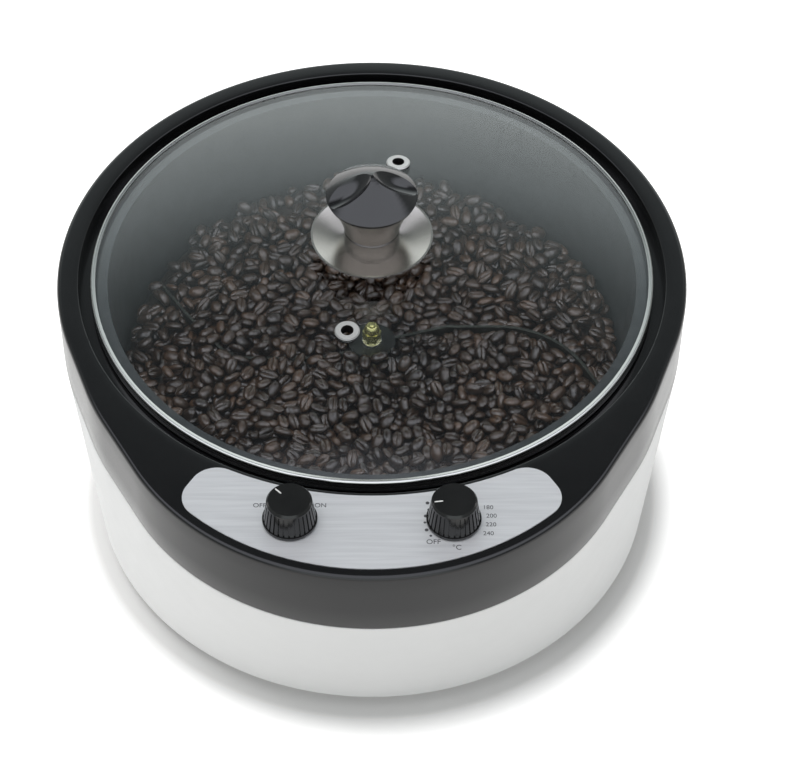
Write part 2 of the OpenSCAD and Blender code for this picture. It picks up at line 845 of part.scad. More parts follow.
// half of the angle of a tooth at radius r, for a gear of the given pitch radius
function roll(x) = tan(x) * 180 / PI - x;
function half_tooth(r, pitch_r, teeth) =
    90 / teeth - backlash / pitch_r * 180 / PI + roll(pressure_angle)
    - roll(acos(min(1, pitch_r * cos(pressure_angle) / r)));

module gear(z, pitch_r, teeth, bore_r) {
    root_r = pitch_r - 1.25 * gear_module;
    base_r = pitch_r * cos(pressure_angle);
    flank_r = max(root_r, base_r);
    tip_r = pitch_r + gear_module;
    flank = [for (i = [0 : 3]) flank_r + (tip_r - flank_r) * i / 3];
    rise = root_r < base_r ? concat([root_r], flank) : flank;
    last = len(rise) - 1;
    translate([0, 0, z]) difference() {
        linear_extrude(gear_w) polygon([
            for (t = [0 : teeth - 1], side = [-1, 1], i = [0 : last])
                let (r = side < 0 ? rise[i] : rise[last - i],
                     a = 360 * t / teeth + side * half_tooth(max(r, base_r), pitch_r, teeth))
                    [r * cos(a), r * sin(a)]]);
        translate([0, 0, -over]) cylinder(h = gear_w + 2 * over, r = bore_r);
    }
}

module drive_gear() {
    color([0.90, 0.88, 0.80]) placed() rotate(90) {
        gear(gear_z, gear_pitch_r, gear_teeth, shaft_r);
        ring(gear_z + gear_w - eps, cover_z - slide_fit, shaft_r, shaft_r + 4);
    }
}

module motor_pinion() {
    color([0.80, 0.62, 0.30]) placed() translate([0, motor_y, 0])
        rotate(180 / pinion_teeth - 90)
            gear(gear_z, pinion_pitch_r, pinion_teeth, motor_shaft_r);
}

module drive_shaft() {
    low_z = case_z - 2.5;
    top_z = hub_top_z + washer_t + thread_depth;
    color("silver") placed() {
        difference() {
            translate([0, 0, low_z]) cylinder(h = hub_z - low_z, r = shaft_r);
            ring(clip_z, clip_z + clip_t, clip_bore_r, shaft_r + over);
        }
        intersection() {
            translate([0, 0, hub_z - over]) cylinder(h = top_z - hub_z + over, r = thread_r);
            translate([-thread_flats / 2, -thread_r - over, hub_z - over])
                cube([thread_flats, 2 * (thread_r + over), top_z - hub_z + over]);
        }
    }
}

module shaft_clip() {
    color("silver") placed() ring(clip_z, clip_z + clip_t, clip_bore_r, shaft_r + 2.5);
}

module motor_can() {
    color([0.55, 0.56, 0.58]) placed() translate([0, motor_y, 0]) difference() {
        union() {
            translate([0, 0, motor_z]) cylinder(h = motor_h, r = motor_r);
            translate([-ear_x, -ear_r, case_z - can_wall])
                cube([2 * ear_x, 2 * ear_r, can_wall]);
        }
        translate([0, 0, motor_z + can_wall])
            cylinder(h = motor_h - 2 * can_wall, r = motor_r - can_wall);
        translate([0, 0, motor_z - over])
            cylinder(h = motor_h + 2 * over, r = motor_shaft_r + run_fit);
        for (x = [-ear_x, ear_x])
            translate([x * (1 - 1 / ear_x), 0, case_z - can_wall - over])
                cylinder(h = can_wall + 2 * over, r = small_screw_r + screw_fit);
    }
}

module motor_stator() {
    color([0.60, 0.35, 0.20]) placed() translate([0, motor_y, 0])
        ring(motor_z + 4, motor_z + motor_h - 4, 15, motor_r - can_wall);
}

module motor_rotor() {
    color([0.40, 0.41, 0.43]) placed() translate([0, motor_y, 0]) {
        translate([0, 0, motor_z + 5]) cylinder(h = motor_h - 10, r = 14.5);
        translate([0, 0, motor_z]) cylinder(h = cover_z - 1 - motor_z, r = motor_shaft_r);
    }
}

module motor_screws() {
    color("silver") placed() for (x = [-ear_x, ear_x])
        translate([x, motor_y, 0])
            screw(case_z - can_wall, can_wall + 8, small_screw_r, 3, screw_head_h);
}

// ---- sensors and wiring ----

// carries the sensors' parts to their place under the pan
module sensor_place(turn, radius) {
    rotate(turn) translate([radius, 0, 0]) children();
}

module sensor_tube(length) {
    translate([0, 0, bulb_z]) rotate([90, 0, 0]) cylinder(h = length, r = bulb_r, center = true);
}

module thermostat_bulb() {
    color([0.80, 0.55, 0.35]) placed() sensor_place(bulb_turn, bulb_ring_r)
        sensor_tube(bulb_len);
}

module thermal_fuse() {
    color([0.85, 0.85, 0.80]) placed() sensor_place(fuse_turn, fuse_ring_r)
        sensor_tube(fuse_len);
}

module bulb_clips() {
    color("silver") placed() {
        sensor_place(bulb_turn, bulb_ring_r)
            for (y = [-bulb_len / 3, bulb_len / 3])
                translate([0, y, 0]) strap(bulb_r, bulb_z, 6);
        sensor_place(fuse_turn, fuse_ring_r) strap(bulb_r, bulb_z, 6);
    }
}

module capillary_tube() {
    way = [-sin(bulb_turn), cos(bulb_turn), 0];
    end = polar(bulb_turn, bulb_ring_r, bulb_z) + bulb_len / 2 * way;
    low_z = (shield_top_z + heater_z - heater_tube_r) / 2;
    turn = 302;
    goal = [knob_x, -knob_y, control_z - thermostat_h + 6];
    out = unit([climb_r * cos(turn) - knob_x, climb_r * sin(turn) + knob_y, 0]);
    color([0.80, 0.55, 0.35]) placed() tube([
        end, end + 5 * way, [end[0] + 10, end[1] + 5, low_z + 3], [end[0] + 20, end[1] - 2, low_z],
        polar(322, 98, low_z), polar(312, 120, low_z), polar(305, climb_r - 5, low_z + 1),
        polar(turn + 1, climb_r - 1, low_z + 5), polar(turn, climb_r, low_z + 16),
        polar(turn, climb_r, goal[2] - 10), goal + (thermostat_r + 40) * out + [0, 0, -2],
        goal + (thermostat_r + 8) * out, goal + thermostat_r * out], 0.8, 6);
}

module terminal_block() {
    color([0.92, 0.90, 0.84]) placed() difference() {
        translate([-block_size[0] / 2, block_y - block_size[1] / 2, plate_top_z])
            cube(block_size);
        for (i = [-2 : 2])
            translate([i * 8, block_y, plate_top_z + 5]) cylinder(h = 10, r = 2.4);
    }
}

module cord_gland() {
    flange_r = gland_r + 2;
    color([0.10, 0.10, 0.10]) placed() difference() {
        union() {
            difference() {
                translate([0, gland_wall_y + 3, gland_z]) rotate([90, 0, 0])
                    cylinder(h = 5, r = flange_r);
                drum_solid(0, drum_z, seam_z);
            }
            translate([0, gland_wall_y + 3, gland_z]) rotate([90, 0, 0])
                cylinder(h = drum_wall + 6, r = gland_r);
            translate([0, gland_wall_y - drum_wall - 1.5, gland_z]) rotate([90, 0, 0])
                cylinder(h = 4, r = gland_r + 1);
        }
        translate([0, gland_wall_y, gland_z]) rotate([90, 0, 0])
            cylinder(h = 40, r = gland_bore_r, center = true);
    }
}

// a wire that leaves the block's side, runs along the base and climbs to a control
module control_wire(side, lane, tab) {
    end_z = control_z - (side < 0 ? switch_h : thermostat_h) - tab_h;
    x0 = side * block_size[0] / 2;
    z0 = plate_top_z + 2 + lane * 6;
    up = -71 + lane * 3;
    spot = [side * knob_x + tab, -knob_y, end_z];
    function at(a, r, z) = side < 0 ? polar(180 - a, r, z) : polar(a, r, z);
    tube([[x0, block_y, z0], [x0 + side * 8, block_y, z0], at(62, wire_ring_r - 4, z0),
          at(45, wire_ring_r - 2, z0 + 6), at(30, wire_ring_r, z0 + 6),
          at(10, wire_ring_r + 2, z0 + 5), at(-10, wire_ring_r + 3, z0 + 5),
          at(-30, wire_ring_r + 3, z0 + 5), at(-50, wire_ring_r + 4, z0 + 8),
          at(up + 6, climb_r - 3, z0 + 14),
          at(up, climb_r, z0 + 32), at(up, climb_r, end_z - 24),
          [spot[0], spot[1] + 8, end_z - 10], [spot[0], spot[1], end_z - 4], spot], wire_r);
}

module control_wires() {
    color([0.20, 0.30, 0.55]) placed() {
        control_wire(-1, 0, tab_x);
        control_wire(-1, 1, -tab_x);
        control_wire(1, 0, tab_x);
    }
}

module heater_wires() {
    end_z = control_z - thermostat_h - tab_h;
    pins = [for (a = heater_ends) polar(a, heater_r, heater_pin_z)];
    block_top = [0, block_y, plate_top_z + block_size[2]];
    color([0.65, 0.15, 0.12]) placed() {
        tube([pins[0], pins[0] - [0, 0, 4], pins[0] + [4, -8, -7],
              polar(286, 122, heater_pin_z - 4), polar(284, climb_r - 2, heater_pin_z + 4),
              polar(283, climb_r, heater_pin_z + 16), polar(283, climb_r, end_z - 20),
              [knob_x - tab_x, -knob_y + 8, end_z - 10], [knob_x - tab_x, -knob_y, end_z - 4],
              [knob_x - tab_x, -knob_y, end_z]], wire_r);
        tube([pins[1], pins[1] - [0, 0, 4], pins[1] + [-4, -8, -7],
              polar(246, wire_ring_r - 10, 54), polar(230, wire_ring_r + 2, 40),
              polar(205, wire_ring_r + 4, 36), polar(180, wire_ring_r + 4, 36),
              polar(155, wire_ring_r + 4, 36), polar(130, wire_ring_r + 2, 36),
              polar(112, wire_ring_r - 6, 36),
              block_top + [-16, 0, 10], block_top + [-16, 0, 4], block_top + [-16, 0, 0]], wire_r);
    }
}

module motor_wires() {
    front_y = block_y - block_size[1] / 2;
    lead_x = 8;
    can_y = motor_y + sqrt(pow(motor_r, 2) - pow(lead_x - wire_r, 2));
    color([0.20, 0.20, 0.22]) placed() for (x = [-lead_x, lead_x])
        tube([[x, can_y, motor_z + 6], [x, can_y + 5, motor_z + 6],
              [x, front_y - 8, plate_top_z + 6], [x, front_y - 3, plate_top_z + 5],
              [x, front_y, plate_top_z + 5]], wire_r);
}

// ---- stirrer ----

// a bar with two flats, the form of the shaft's top and of the hole that it drives
module flatted_bar(z0, z1) {
    intersection() {
        translate([0, 0, z0]) cylinder(h = z1 - z0, r = thread_r);
        translate([-thread_flats / 2, -2 * thread_r, z0])
            cube([thread_flats, 4 * thread_r, z1 - z0]);
    }
}

module stirrer_hub() {
    skirt_z = blade_z + 2;
    color([0.22, 0.24, 0.23]) placed() difference() {
        translate([0, 0, skirt_z]) cylinder(h = hub_top_z - skirt_z, r = hub_r);
        translate([0, 0, skirt_z - over])
            cylinder(h = hub_z - skirt_z + over, r = hub_r - barrel_wall);
        flatted_bar(hub_z - over, hub_top_z + over);
    }
}

// walks a path: each leg is [length, turn, pieces]; gives [x, y, heading] at each step
function steps_of(legs) = [for (leg = legs) for (k = [1 : leg[2]]) [leg[0], leg[1]] / leg[2]];
function walk(x, y, h, steps, i = 0) = i == len(steps) ? [[x, y, h]] :
    let (m = h + steps[i][1] / 2)
        concat([[x, y, h]], walk(x + steps[i][0] * cos(m), y + steps[i][0] * sin(m),
                                 h + steps[i][1], steps, i + 1));

// a blade that starts on the hub and follows its legs, cut where the hub stands
module blade(heading, legs) {
    root_angle = 22;
    root_r = hub_r - 1;
    path = walk(root_r * cos(root_angle), root_r * sin(root_angle), heading, steps_of(legs));
    half = blade_t / 2;
    left = [for (p = path) [p[0] - half * sin(p[2]), p[1] + half * cos(p[2])]];
    right = [for (i = [len(path) - 1 : -1 : 0])
        [path[i][0] + half * sin(path[i][2]), path[i][1] - half * cos(path[i][2])]];
    translate([0, 0, blade_z]) difference() {
        linear_extrude(blade_h) polygon(concat(left, right));
        translate([0, 0, -over]) cylinder(h = blade_h + 2 * over, r = hub_r);
    }
}

function bend(r, angle) = r * angle * PI / 180;

module long_blade() {
    turn = 62;
    color([0.55, 0.56, 0.58]) placed() blade(16.5, [
        [long_root, 0, 1], [6, -16.5, 3], [long_straight, 0, 1],
        [bend(long_bend_r, turn), -turn, 10], [long_tip, -3, 1]]);
}

module short_blade() {
    turn = 50;
    color([0.55, 0.56, 0.58]) placed() rotate(180) blade(22, [
        [short_root, 0, 1], [14, -22, 4], [short_straight, 0, 1],
        [bend(short_bend_r, turn), -turn, 8], [short_curve, -8, 3], [short_tip, 0, 1]]);
}

module hub_washer() {
    color([0.80, 0.62, 0.30]) placed()
        ring(hub_top_z, hub_top_z + washer_t, thread_r, thread_r + 2.2);
}

module hub_nut() {
    hex_h = 6.6;
    side_r = thread_r + 1.2;
    side_h = hex_h + 0.3;
    tip_r = 1.8;
    tip_h = 1.1;
    tip_edge = 0.6;
    dome_h = nut_h - tip_h - side_h;
    color([0.85, 0.72, 0.35]) placed() translate([0, 0, hub_top_z + washer_t]) difference() {
        union() {
            cylinder(h = hex_h, r = thread_r + 1.9, $fn = nut_facets);
            rotate_extrude() polygon(concat([[0, 0], [side_r, 0], [side_r, side_h]],
                [for (a = [15 : 15 : 90])
                    [tip_r + (side_r - tip_r) * cos(a), side_h + dome_h * sin(a)]],
                [[tip_r, nut_h - tip_edge], [tip_r - tip_edge, nut_h], [0, nut_h]]));
        }
        translate([0, 0, -over]) cylinder(h = thread_depth + over, r = thread_r);
    }
}

// ---- lid ----

// the glass dome without its holes
module dome_body() {
    difference() {
        intersection() {
            translate([0, 0, dome_ball_z]) sphere(r = dome_ball_r);
            translate([0, 0, lid_seat_z]) cylinder(h = 2 * dome_rise + rim_h, r = glass_edge_r);
        }
        translate([0, 0, dome_ball_z]) sphere(r = dome_ball_r - glass_t);
    }
}

// puts a piece upright on the glass
module on_glass(radius, turn) {
    translate([0, 0, dome_ball_z]) rotate(turn) rotate([0, asin(radius / dome_ball_r), 0])
        translate([0, 0, dome_ball_r]) children();
}

module at_vents() {
    on_glass(rear_vent_r, 90 - vent_turn) children();
    on_glass(front_vent_r, 270 - vent_turn) children();
}

module lid_rim() {
    roll_r = 1.2;
    color([0.80, 0.80, 0.81]) placed() difference() {
        rotate_extrude() polygon(concat(
            [[dome_half, lid_seat_z], [lid_r, lid_seat_z]],
            arc(lid_r - roll_r, rim_top_z - roll_r, roll_r, 0, 90, 6),
            [[dome_half, rim_top_z - rim_fold / 2]]));
        dome_body();
    }
}

module lid_glass() {
    color([0.55, 0.65, 0.70, 0.35]) placed() difference() {
        dome_body();
        at_vents() cylinder(h = 4 * glass_t, r = vent_hole_r + 1, center = true);
        translate([0, 0, lid_seat_z]) cylinder(h = 2 * dome_rise + rim_h, r = knob_screw_r + 0.5);
    }
}

module steam_vents() {
    tube_r = vent_hole_r + 1;
    eyelet_t = 1.2;
    color([0.85, 0.85, 0.86]) placed() at_vents() difference() {
        union() {
            cylinder(h = eyelet_t / 2, r = eyelet_r);
            translate([0, 0, eyelet_t / 2])
                cylinder(h = eyelet_t / 2, r1 = eyelet_r, r2 = eyelet_r - eyelet_t / 2);
            translate([0, 0, -glass_t - 1]) cylinder(h = glass_t + 1.5, r = tube_r);
            translate([0, 0, -glass_t - 1.1]) cylinder(h = 1, r = tube_r + 0.8);
        }
        translate([0, 0, -3 * glass_t]) cylinder(h = 6 * glass_t, r = vent_hole_r);
    }
}

module knob_saucer() {
    bore_r = knob_screw_r + 0.3;
    seat_r = neck_r - saucer_t;
    rim_z = dome_top_z + saucer_rise;
    color([0.82, 0.82, 0.83]) placed() rotate_extrude() polygon([
        [bore_r, dome_top_z], [seat_r, dome_top_z], [saucer_r, rim_z],
        [saucer_r, rim_z + saucer_t], [saucer_r - saucer_t, rim_z + saucer_t],
        [neck_r, stem_z], [bore_r, stem_z]]);
}

// the stem's outer profile, drawn in by shrink, from the neck up
function stem_side(shrink) = [for (i = [0 : 10])
    [neck_r - shrink + (stem_top_r - neck_r) * pow(i / 10, 1.4),
     stem_z + neck_h + (stem_h - neck_h) * i / 10]];

module knob_stem() {
    bore_r = knob_screw_r + 0.3;
    groove_d = 0.5;
    inner = stem_side(stem_wall);
    color([0.82, 0.82, 0.83]) placed() rotate_extrude() polygon(concat(
        [[bore_r, stem_z], [neck_r, stem_z], [neck_r, stem_z + neck_h - 2 * groove_d],
         [neck_r - groove_d, stem_z + neck_h - groove_d]], stem_side(0),
        [for (i = [10 : -1 : 0]) inner[i]],
        [[neck_r - stem_wall, stem_z + stem_wall], [bore_r, stem_z + stem_wall]]));
}

// a low cone with two scoops in its back, on a core that fills the stem's foot
module knob_cap() {
    edge_h = 2;
    core_r = 7;
    scoop_side_r = 9;
    rise = cap_h - edge_h;
    crown = [for (i = [0 : 12]) [cap_r * (1 - i / 12), edge_h + rise * (1 - pow(1 - i / 12, 1.4))]];
    outer_tip = [cap_r - 0.4, edge_h + 0.3];
    inner_tip = [0.8, cap_h - 0.2];
    half = norm(outer_tip - inner_tip) / 2;
    way = (outer_tip - inner_tip) / (2 * half);
    bow_r = (half * half + scoop_d * scoop_d) / (2 * scoop_d);
    middle = (outer_tip + inner_tip) / 2 + [-way[1], way[0]] * (bow_r - scoop_d);
    color([0.07, 0.07, 0.08]) placed() difference() {
        translate([0, 0, cap_z]) rotate_extrude() polygon(concat(
            [[0, stem_wall - stem_h], [core_r, stem_wall - stem_h], [core_r, 0],
             [cap_r - 0.8, 0]], crown));
        for (turn = [202, 6])
            rotate(turn) translate([middle[0], 0, cap_z + middle[1]]) rotate([90, 0, 0])
                rotate_extrude() translate([bow_r - scoop_side_r, 0]) circle(r = scoop_side_r);
        translate([0, 0, stem_z])
            cylinder(h = knob_screw_h - glass_t - saucer_t, r = knob_screw_r);
    }
}

module knob_screw() {
    head_r = 6;
    seat_z = dome_ball_z + sqrt(pow(dome_ball_r - glass_t, 2) - head_r * head_r);
    color("silver") placed() screw(seat_z, knob_screw_h, knob_screw_r, head_r, 2.6);
}

// ---- the model ----

upper_housing();
drum();
control_panel();
base_plate();
rubber_feet();
foot_screws();
foot_nuts();
pan_seal();
pan();
shaft_bush();
shaft_seal();
heating_element();
element_clamps();
heat_shield();
pan_studs();
upper_posts();
motor_bracket();
lower_posts();
tie_screws();
gear_case();
gear_cover();
gear_screws();
motor_can();
motor_stator();
motor_screws();
switch_case();
thermostat_case();
control_nuts();
thermostat_bulb();
capillary_tube();
bulb_clips();
thermal_fuse();
terminal_block();
cord_gland();
control_wires();
heater_wires();
motor_wires();
drive_shaft();
drive_gear();
shaft_clip();
stirrer_hub();
long_blade();
short_blade();
hub_washer();
hub_nut();
motor_rotor();
motor_pinion();
lid_rim();
lid_glass();
steam_vents();
knob_saucer();
knob_stem();
knob_cap();
knob_screw();
switch_knob();
switch_shaft();
temperature_knob();
temperature_shaft();
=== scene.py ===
# Looks, light and camera for the countertop coffee bean roaster.
# Shapes are laid out in millimetres and make_object turns them into metres; materials,
# cutters' places, light and camera are in metres.
import json
import math
import random

import bmesh
import bpy
import numpy as np
from mathutils import Matrix, Vector, noise
from mathutils.kdtree import KDTree

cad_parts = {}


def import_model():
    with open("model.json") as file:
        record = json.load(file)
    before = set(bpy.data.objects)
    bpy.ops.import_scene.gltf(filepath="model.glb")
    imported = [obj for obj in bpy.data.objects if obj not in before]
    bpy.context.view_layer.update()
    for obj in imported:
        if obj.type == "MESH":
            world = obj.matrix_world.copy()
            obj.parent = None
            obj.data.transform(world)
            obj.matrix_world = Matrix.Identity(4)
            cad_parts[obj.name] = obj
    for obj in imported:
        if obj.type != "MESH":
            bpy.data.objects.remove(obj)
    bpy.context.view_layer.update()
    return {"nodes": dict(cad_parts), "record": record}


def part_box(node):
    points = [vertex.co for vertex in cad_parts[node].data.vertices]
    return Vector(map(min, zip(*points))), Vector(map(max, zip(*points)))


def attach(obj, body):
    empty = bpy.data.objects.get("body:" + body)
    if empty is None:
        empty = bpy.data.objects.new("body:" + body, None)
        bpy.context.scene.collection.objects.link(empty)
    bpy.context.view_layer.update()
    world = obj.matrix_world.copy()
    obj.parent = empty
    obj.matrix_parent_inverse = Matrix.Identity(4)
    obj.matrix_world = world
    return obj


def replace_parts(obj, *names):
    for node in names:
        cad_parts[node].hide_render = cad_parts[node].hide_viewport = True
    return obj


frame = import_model()
nodes = frame["nodes"]
MM = 0.001
CAMERA = (0.0, -0.89485, 1.0984)
CAMERA_TILT = 48.09     # degrees below the horizon
AXIS_Y = 0.02025        # the axis of the lid, pan and stirrer stands this far behind the origin
AXIS_MM = AXIS_Y / MM
GROOVE_Z = 203.1        # mm, height of the fine groove round the lid knob's stem, where shade is painted into the turned metal
SHARP_ANGLE = math.radians(32)


# ---------------------------------------------------------------- materials

def new_material(name):
    mat = bpy.data.materials.new(name)
    mat.use_nodes = True
    tree = mat.node_tree
    return mat, tree, tree.nodes["Principled BSDF"]


def add(tree, kind, **values):
    node = tree.nodes.new(kind)
    for key, value in values.items():
        setattr(node, key, value)
    return node


def feed(tree, socket, value):
    """Gives a socket a number, an RGB colour or another node's output."""
    if isinstance(value, bpy.types.NodeSocket):
        tree.links.new(value, socket)
    elif isinstance(value, tuple):
        socket.default_value = (*value, 1)
    else:
        socket.default_value = value


def maths(tree, operation, *values):
    node = add(tree, "ShaderNodeMath", operation=operation)
    for socket, value in zip(node.inputs, values):
        feed(tree, socket, value)
    return node.outputs[0]


def mixed(tree, factor, a, b, blend="MIX"):
    node = add(tree, "ShaderNodeMix", data_type="RGBA", blend_type=blend)
    for name, value in (("Factor", factor), ("A", a), ("B", b)):
        feed(tree, node.inputs[name], value)
    return node.outputs["Result"]


def split_up(tree, vector):
    """The X, Y and Z of a vector."""
    node = add(tree, "ShaderNodeSeparateXYZ")
    tree.links.new(vector, node.inputs[0])
    return node.outputs["X"], node.outputs["Y"], node.outputs["Z"]


def length_of(tree, vector):
    node = add(tree, "ShaderNodeVectorMath", operation="LENGTH")
    tree.links.new(vector, node.inputs[0])
    return node.outputs["Value"]


def place(tree, scale=(1, 1, 1), shift=(0, 0, 0)):
    """Object coordinates, stretched by scale and then shifted."""
    coords = add(tree, "ShaderNodeTexCoord")
    mapping = add(tree, "ShaderNodeMapping")
    mapping.inputs["Location"].default_value = shift
    mapping.inputs["Scale"].default_value = scale
    tree.links.new(coords.outputs["Object"], mapping.inputs["Vector"])
    return mapping.outputs["Vector"]


def noise_of(tree, vector, scale, detail=4.0, roughness=0.55):
    tex = add(tree, "ShaderNodeTexNoise")
    tex.inputs["Scale"].default_value = scale
    tex.inputs["Detail"].default_value = detail
    tex.inputs["Roughness"].default_value = roughness
    tree.links.new(vector, tex.inputs["Vector"])
    return tex.outputs["Fac"]


def ramp(tree, value, stops):
    node = add(tree, "ShaderNodeValToRGB")
    points = node.color_ramp.elements
    while len(points) < len(stops):
        points.new(0.5)
    for point, (at, colour) in zip(points, stops):
        point.position = at
        point.color = (*colour, 1.0)
    tree.links.new(value, node.inputs["Fac"])
    return node.outputs["Color"]


def spread(tree, value, low, high, start=0.3, end=0.7):
    """Takes a value that runs from start to end to one that runs from low to high."""
    node = add(tree, "ShaderNodeMapRange")
    for name, number in (("From Min", start), ("From Max", end), ("To Min", low), ("To Max", high)):
        node.inputs[name].default_value = number
    tree.links.new(value, node.inputs["Value"])
    return node.outputs["Result"]


def bump(tree, shader, height, strength, distance):
    node = add(tree, "ShaderNodeBump")
    node.inputs["Strength"].default_value = strength
    node.inputs["Distance"].default_value = distance
    tree.links.new(height, node.inputs["Height"])
    tree.links.new(node.outputs["Normal"], shader.inputs["Normal"])


def finish(name, dark, light, rough, grain, metallic=0.0, stretch=(1, 1, 1), relief=0.15,
           depth=0.0001, specular=0.5):
    """A finish with its own fine grain: colour, gloss and relief vary together."""
    mat, tree, shader = new_material(name)
    vector = place(tree, stretch)
    fine = noise_of(tree, vector, grain)
    broad = noise_of(tree, place(tree, stretch, (0.3, 0.7, 0.1)), grain * 0.06, 2.0)
    colour = ramp(tree, broad, [(0.3, dark), (0.7, light)])
    tree.links.new(colour, shader.inputs["Base Color"])
    tree.links.new(spread(tree, fine, rough[0], rough[1]), shader.inputs["Roughness"])
    bump(tree, shader, fine, relief, depth)
    shader.inputs["Metallic"].default_value = metallic
    shader.inputs["Specular IOR Level"].default_value = specular
    return mat


def turned_metal(name, dark, light, rough, anisotropy, lines):
    """Metal turned round the lid's axis, with painted shade in the groove of the lid knob's stem.
    """
    mat, tree, shader = new_material(name)
    x, y, z = split_up(tree, place(tree, (1, 1, 1), (0, -AXIS_Y, 0)))
    flat = add(tree, "ShaderNodeCombineXYZ")
    tree.links.new(x, flat.inputs["X"])
    tree.links.new(y, flat.inputs["Y"])
    rings = add(tree, "ShaderNodeTexNoise", noise_dimensions="1D")
    rings.inputs["Scale"].default_value = lines
    rings.inputs["Detail"].default_value = 5.0
    tree.links.new(maths(tree, "ADD", length_of(tree, flat.outputs[0]), z), rings.inputs["W"])
    colour = ramp(tree, rings.outputs["Fac"], [(0.3, dark), (0.7, light)])
    # painted shade: the colour turns dark grey within about 0.5 to 0.8 mm of the stem's groove
    off = maths(tree, "ABSOLUTE", maths(tree, "SUBTRACT", z, GROOVE_Z * MM))
    painted_groove_shade = spread(tree, off, 1.0, 0.0, 0.0005, 0.0008)
    colour = mixed(tree, painted_groove_shade, colour, (0.10, 0.095, 0.09))
    tree.links.new(colour, shader.inputs["Base Color"])
    tree.links.new(spread(tree, rings.outputs["Fac"], *rough), shader.inputs["Roughness"])
    shader.inputs["Metallic"].default_value = 1.0
    shader.inputs["Anisotropic"].default_value = anisotropy
    tangent = add(tree, "ShaderNodeTangent", direction_type="RADIAL", axis="Z")
    tree.links.new(tangent.outputs[0], shader.inputs["Tangent"])
    bump(tree, shader, rings.outputs["Fac"], 0.06, 0.0001)
    return mat


def lit_on_top(mat, shade):
    """Paints shade on the faces of a finish that don't look up, such as bores and edges."""
    tree = mat.node_tree
    shader = tree.nodes["Principled BSDF"]
    colour = shader.inputs["Base Color"].links[0].from_socket
    form = add(tree, "ShaderNodeNewGeometry")
    up = split_up(tree, form.outputs["Normal"])[2]
    colour = mixed(tree, spread(tree, up, 0.0, 1.0, 0.35, 0.85), shade, colour)
    tree.links.new(colour, shader.inputs["Base Color"])
    return mat


def glass_of(name, tint, roughness):
    """Clear glass that lets lamps through to what it covers."""
    mat, tree, shader = new_material(name)
    shader.inputs["Base Color"].default_value = (*tint, 1)
    shader.inputs["Roughness"].default_value = roughness
    shader.inputs["IOR"].default_value = 1.5
    shader.inputs["Transmission Weight"].default_value = 1.0
    smear = noise_of(tree, place(tree), 9.0, 3.0)
    bump(tree, shader, smear, 0.02, 0.0004)
    clear = add(tree, "ShaderNodeBsdfTransparent")
    clear.inputs["Color"].default_value = (0.93, 0.95, 0.96, 1)
    path = add(tree, "ShaderNodeLightPath")
    either = maths(tree, "MAXIMUM", path.outputs["Is Shadow Ray"], path.outputs["Is Diffuse Ray"])
    mix = add(tree, "ShaderNodeMixShader")
    tree.links.new(either, mix.inputs["Fac"])
    tree.links.new(shader.outputs[0], mix.inputs[1])
    tree.links.new(clear.outputs[0], mix.inputs[2])
    tree.links.new(mix.outputs[0], tree.nodes["Material Output"].inputs["Surface"])
    return mat


def bean_material():
    """Dark roasted beans: each one its own brown, an oily sheen and a paler crease."""
    mat, tree, shader = new_material("roasted_bean")
    tint = add(tree, "ShaderNodeAttribute", attribute_name="tint")
    groove = add(tree, "ShaderNodeAttribute", attribute_name="groove")
    skin = noise_of(tree, place(tree), 900.0, 4.0)
    patches = noise_of(tree, place(tree), 260.0, 2.0)
    brown = ramp(tree, tint.outputs["Fac"], [
        (0.0, (0.020, 0.0110, 0.0065)), (0.45, (0.038, 0.0215, 0.0130)),
        (0.8, (0.062, 0.0355, 0.0215)), (1.0, (0.098, 0.0560, 0.0340))])
    shade = ramp(tree, patches, [(0.3, (0.65, 0.65, 0.65)), (0.7, (1.25, 1.2, 1.15))])
    blotched = mixed(tree, 1.0, brown, shade, "MULTIPLY")
    colour = mixed(tree, groove.outputs["Fac"], blotched, (0.056, 0.034, 0.021))
    tree.links.new(colour, shader.inputs["Base Color"])
    tree.links.new(spread(tree, skin, 0.26, 0.42), shader.inputs["Roughness"])
    bump(tree, shader, skin, 0.3, 0.0002)
    shader.inputs["Specular IOR Level"].default_value = 0.75
    shader.inputs["Coat Weight"].default_value = 0.55
    shader.inputs["Coat Roughness"].default_value = 0.2
    return mat


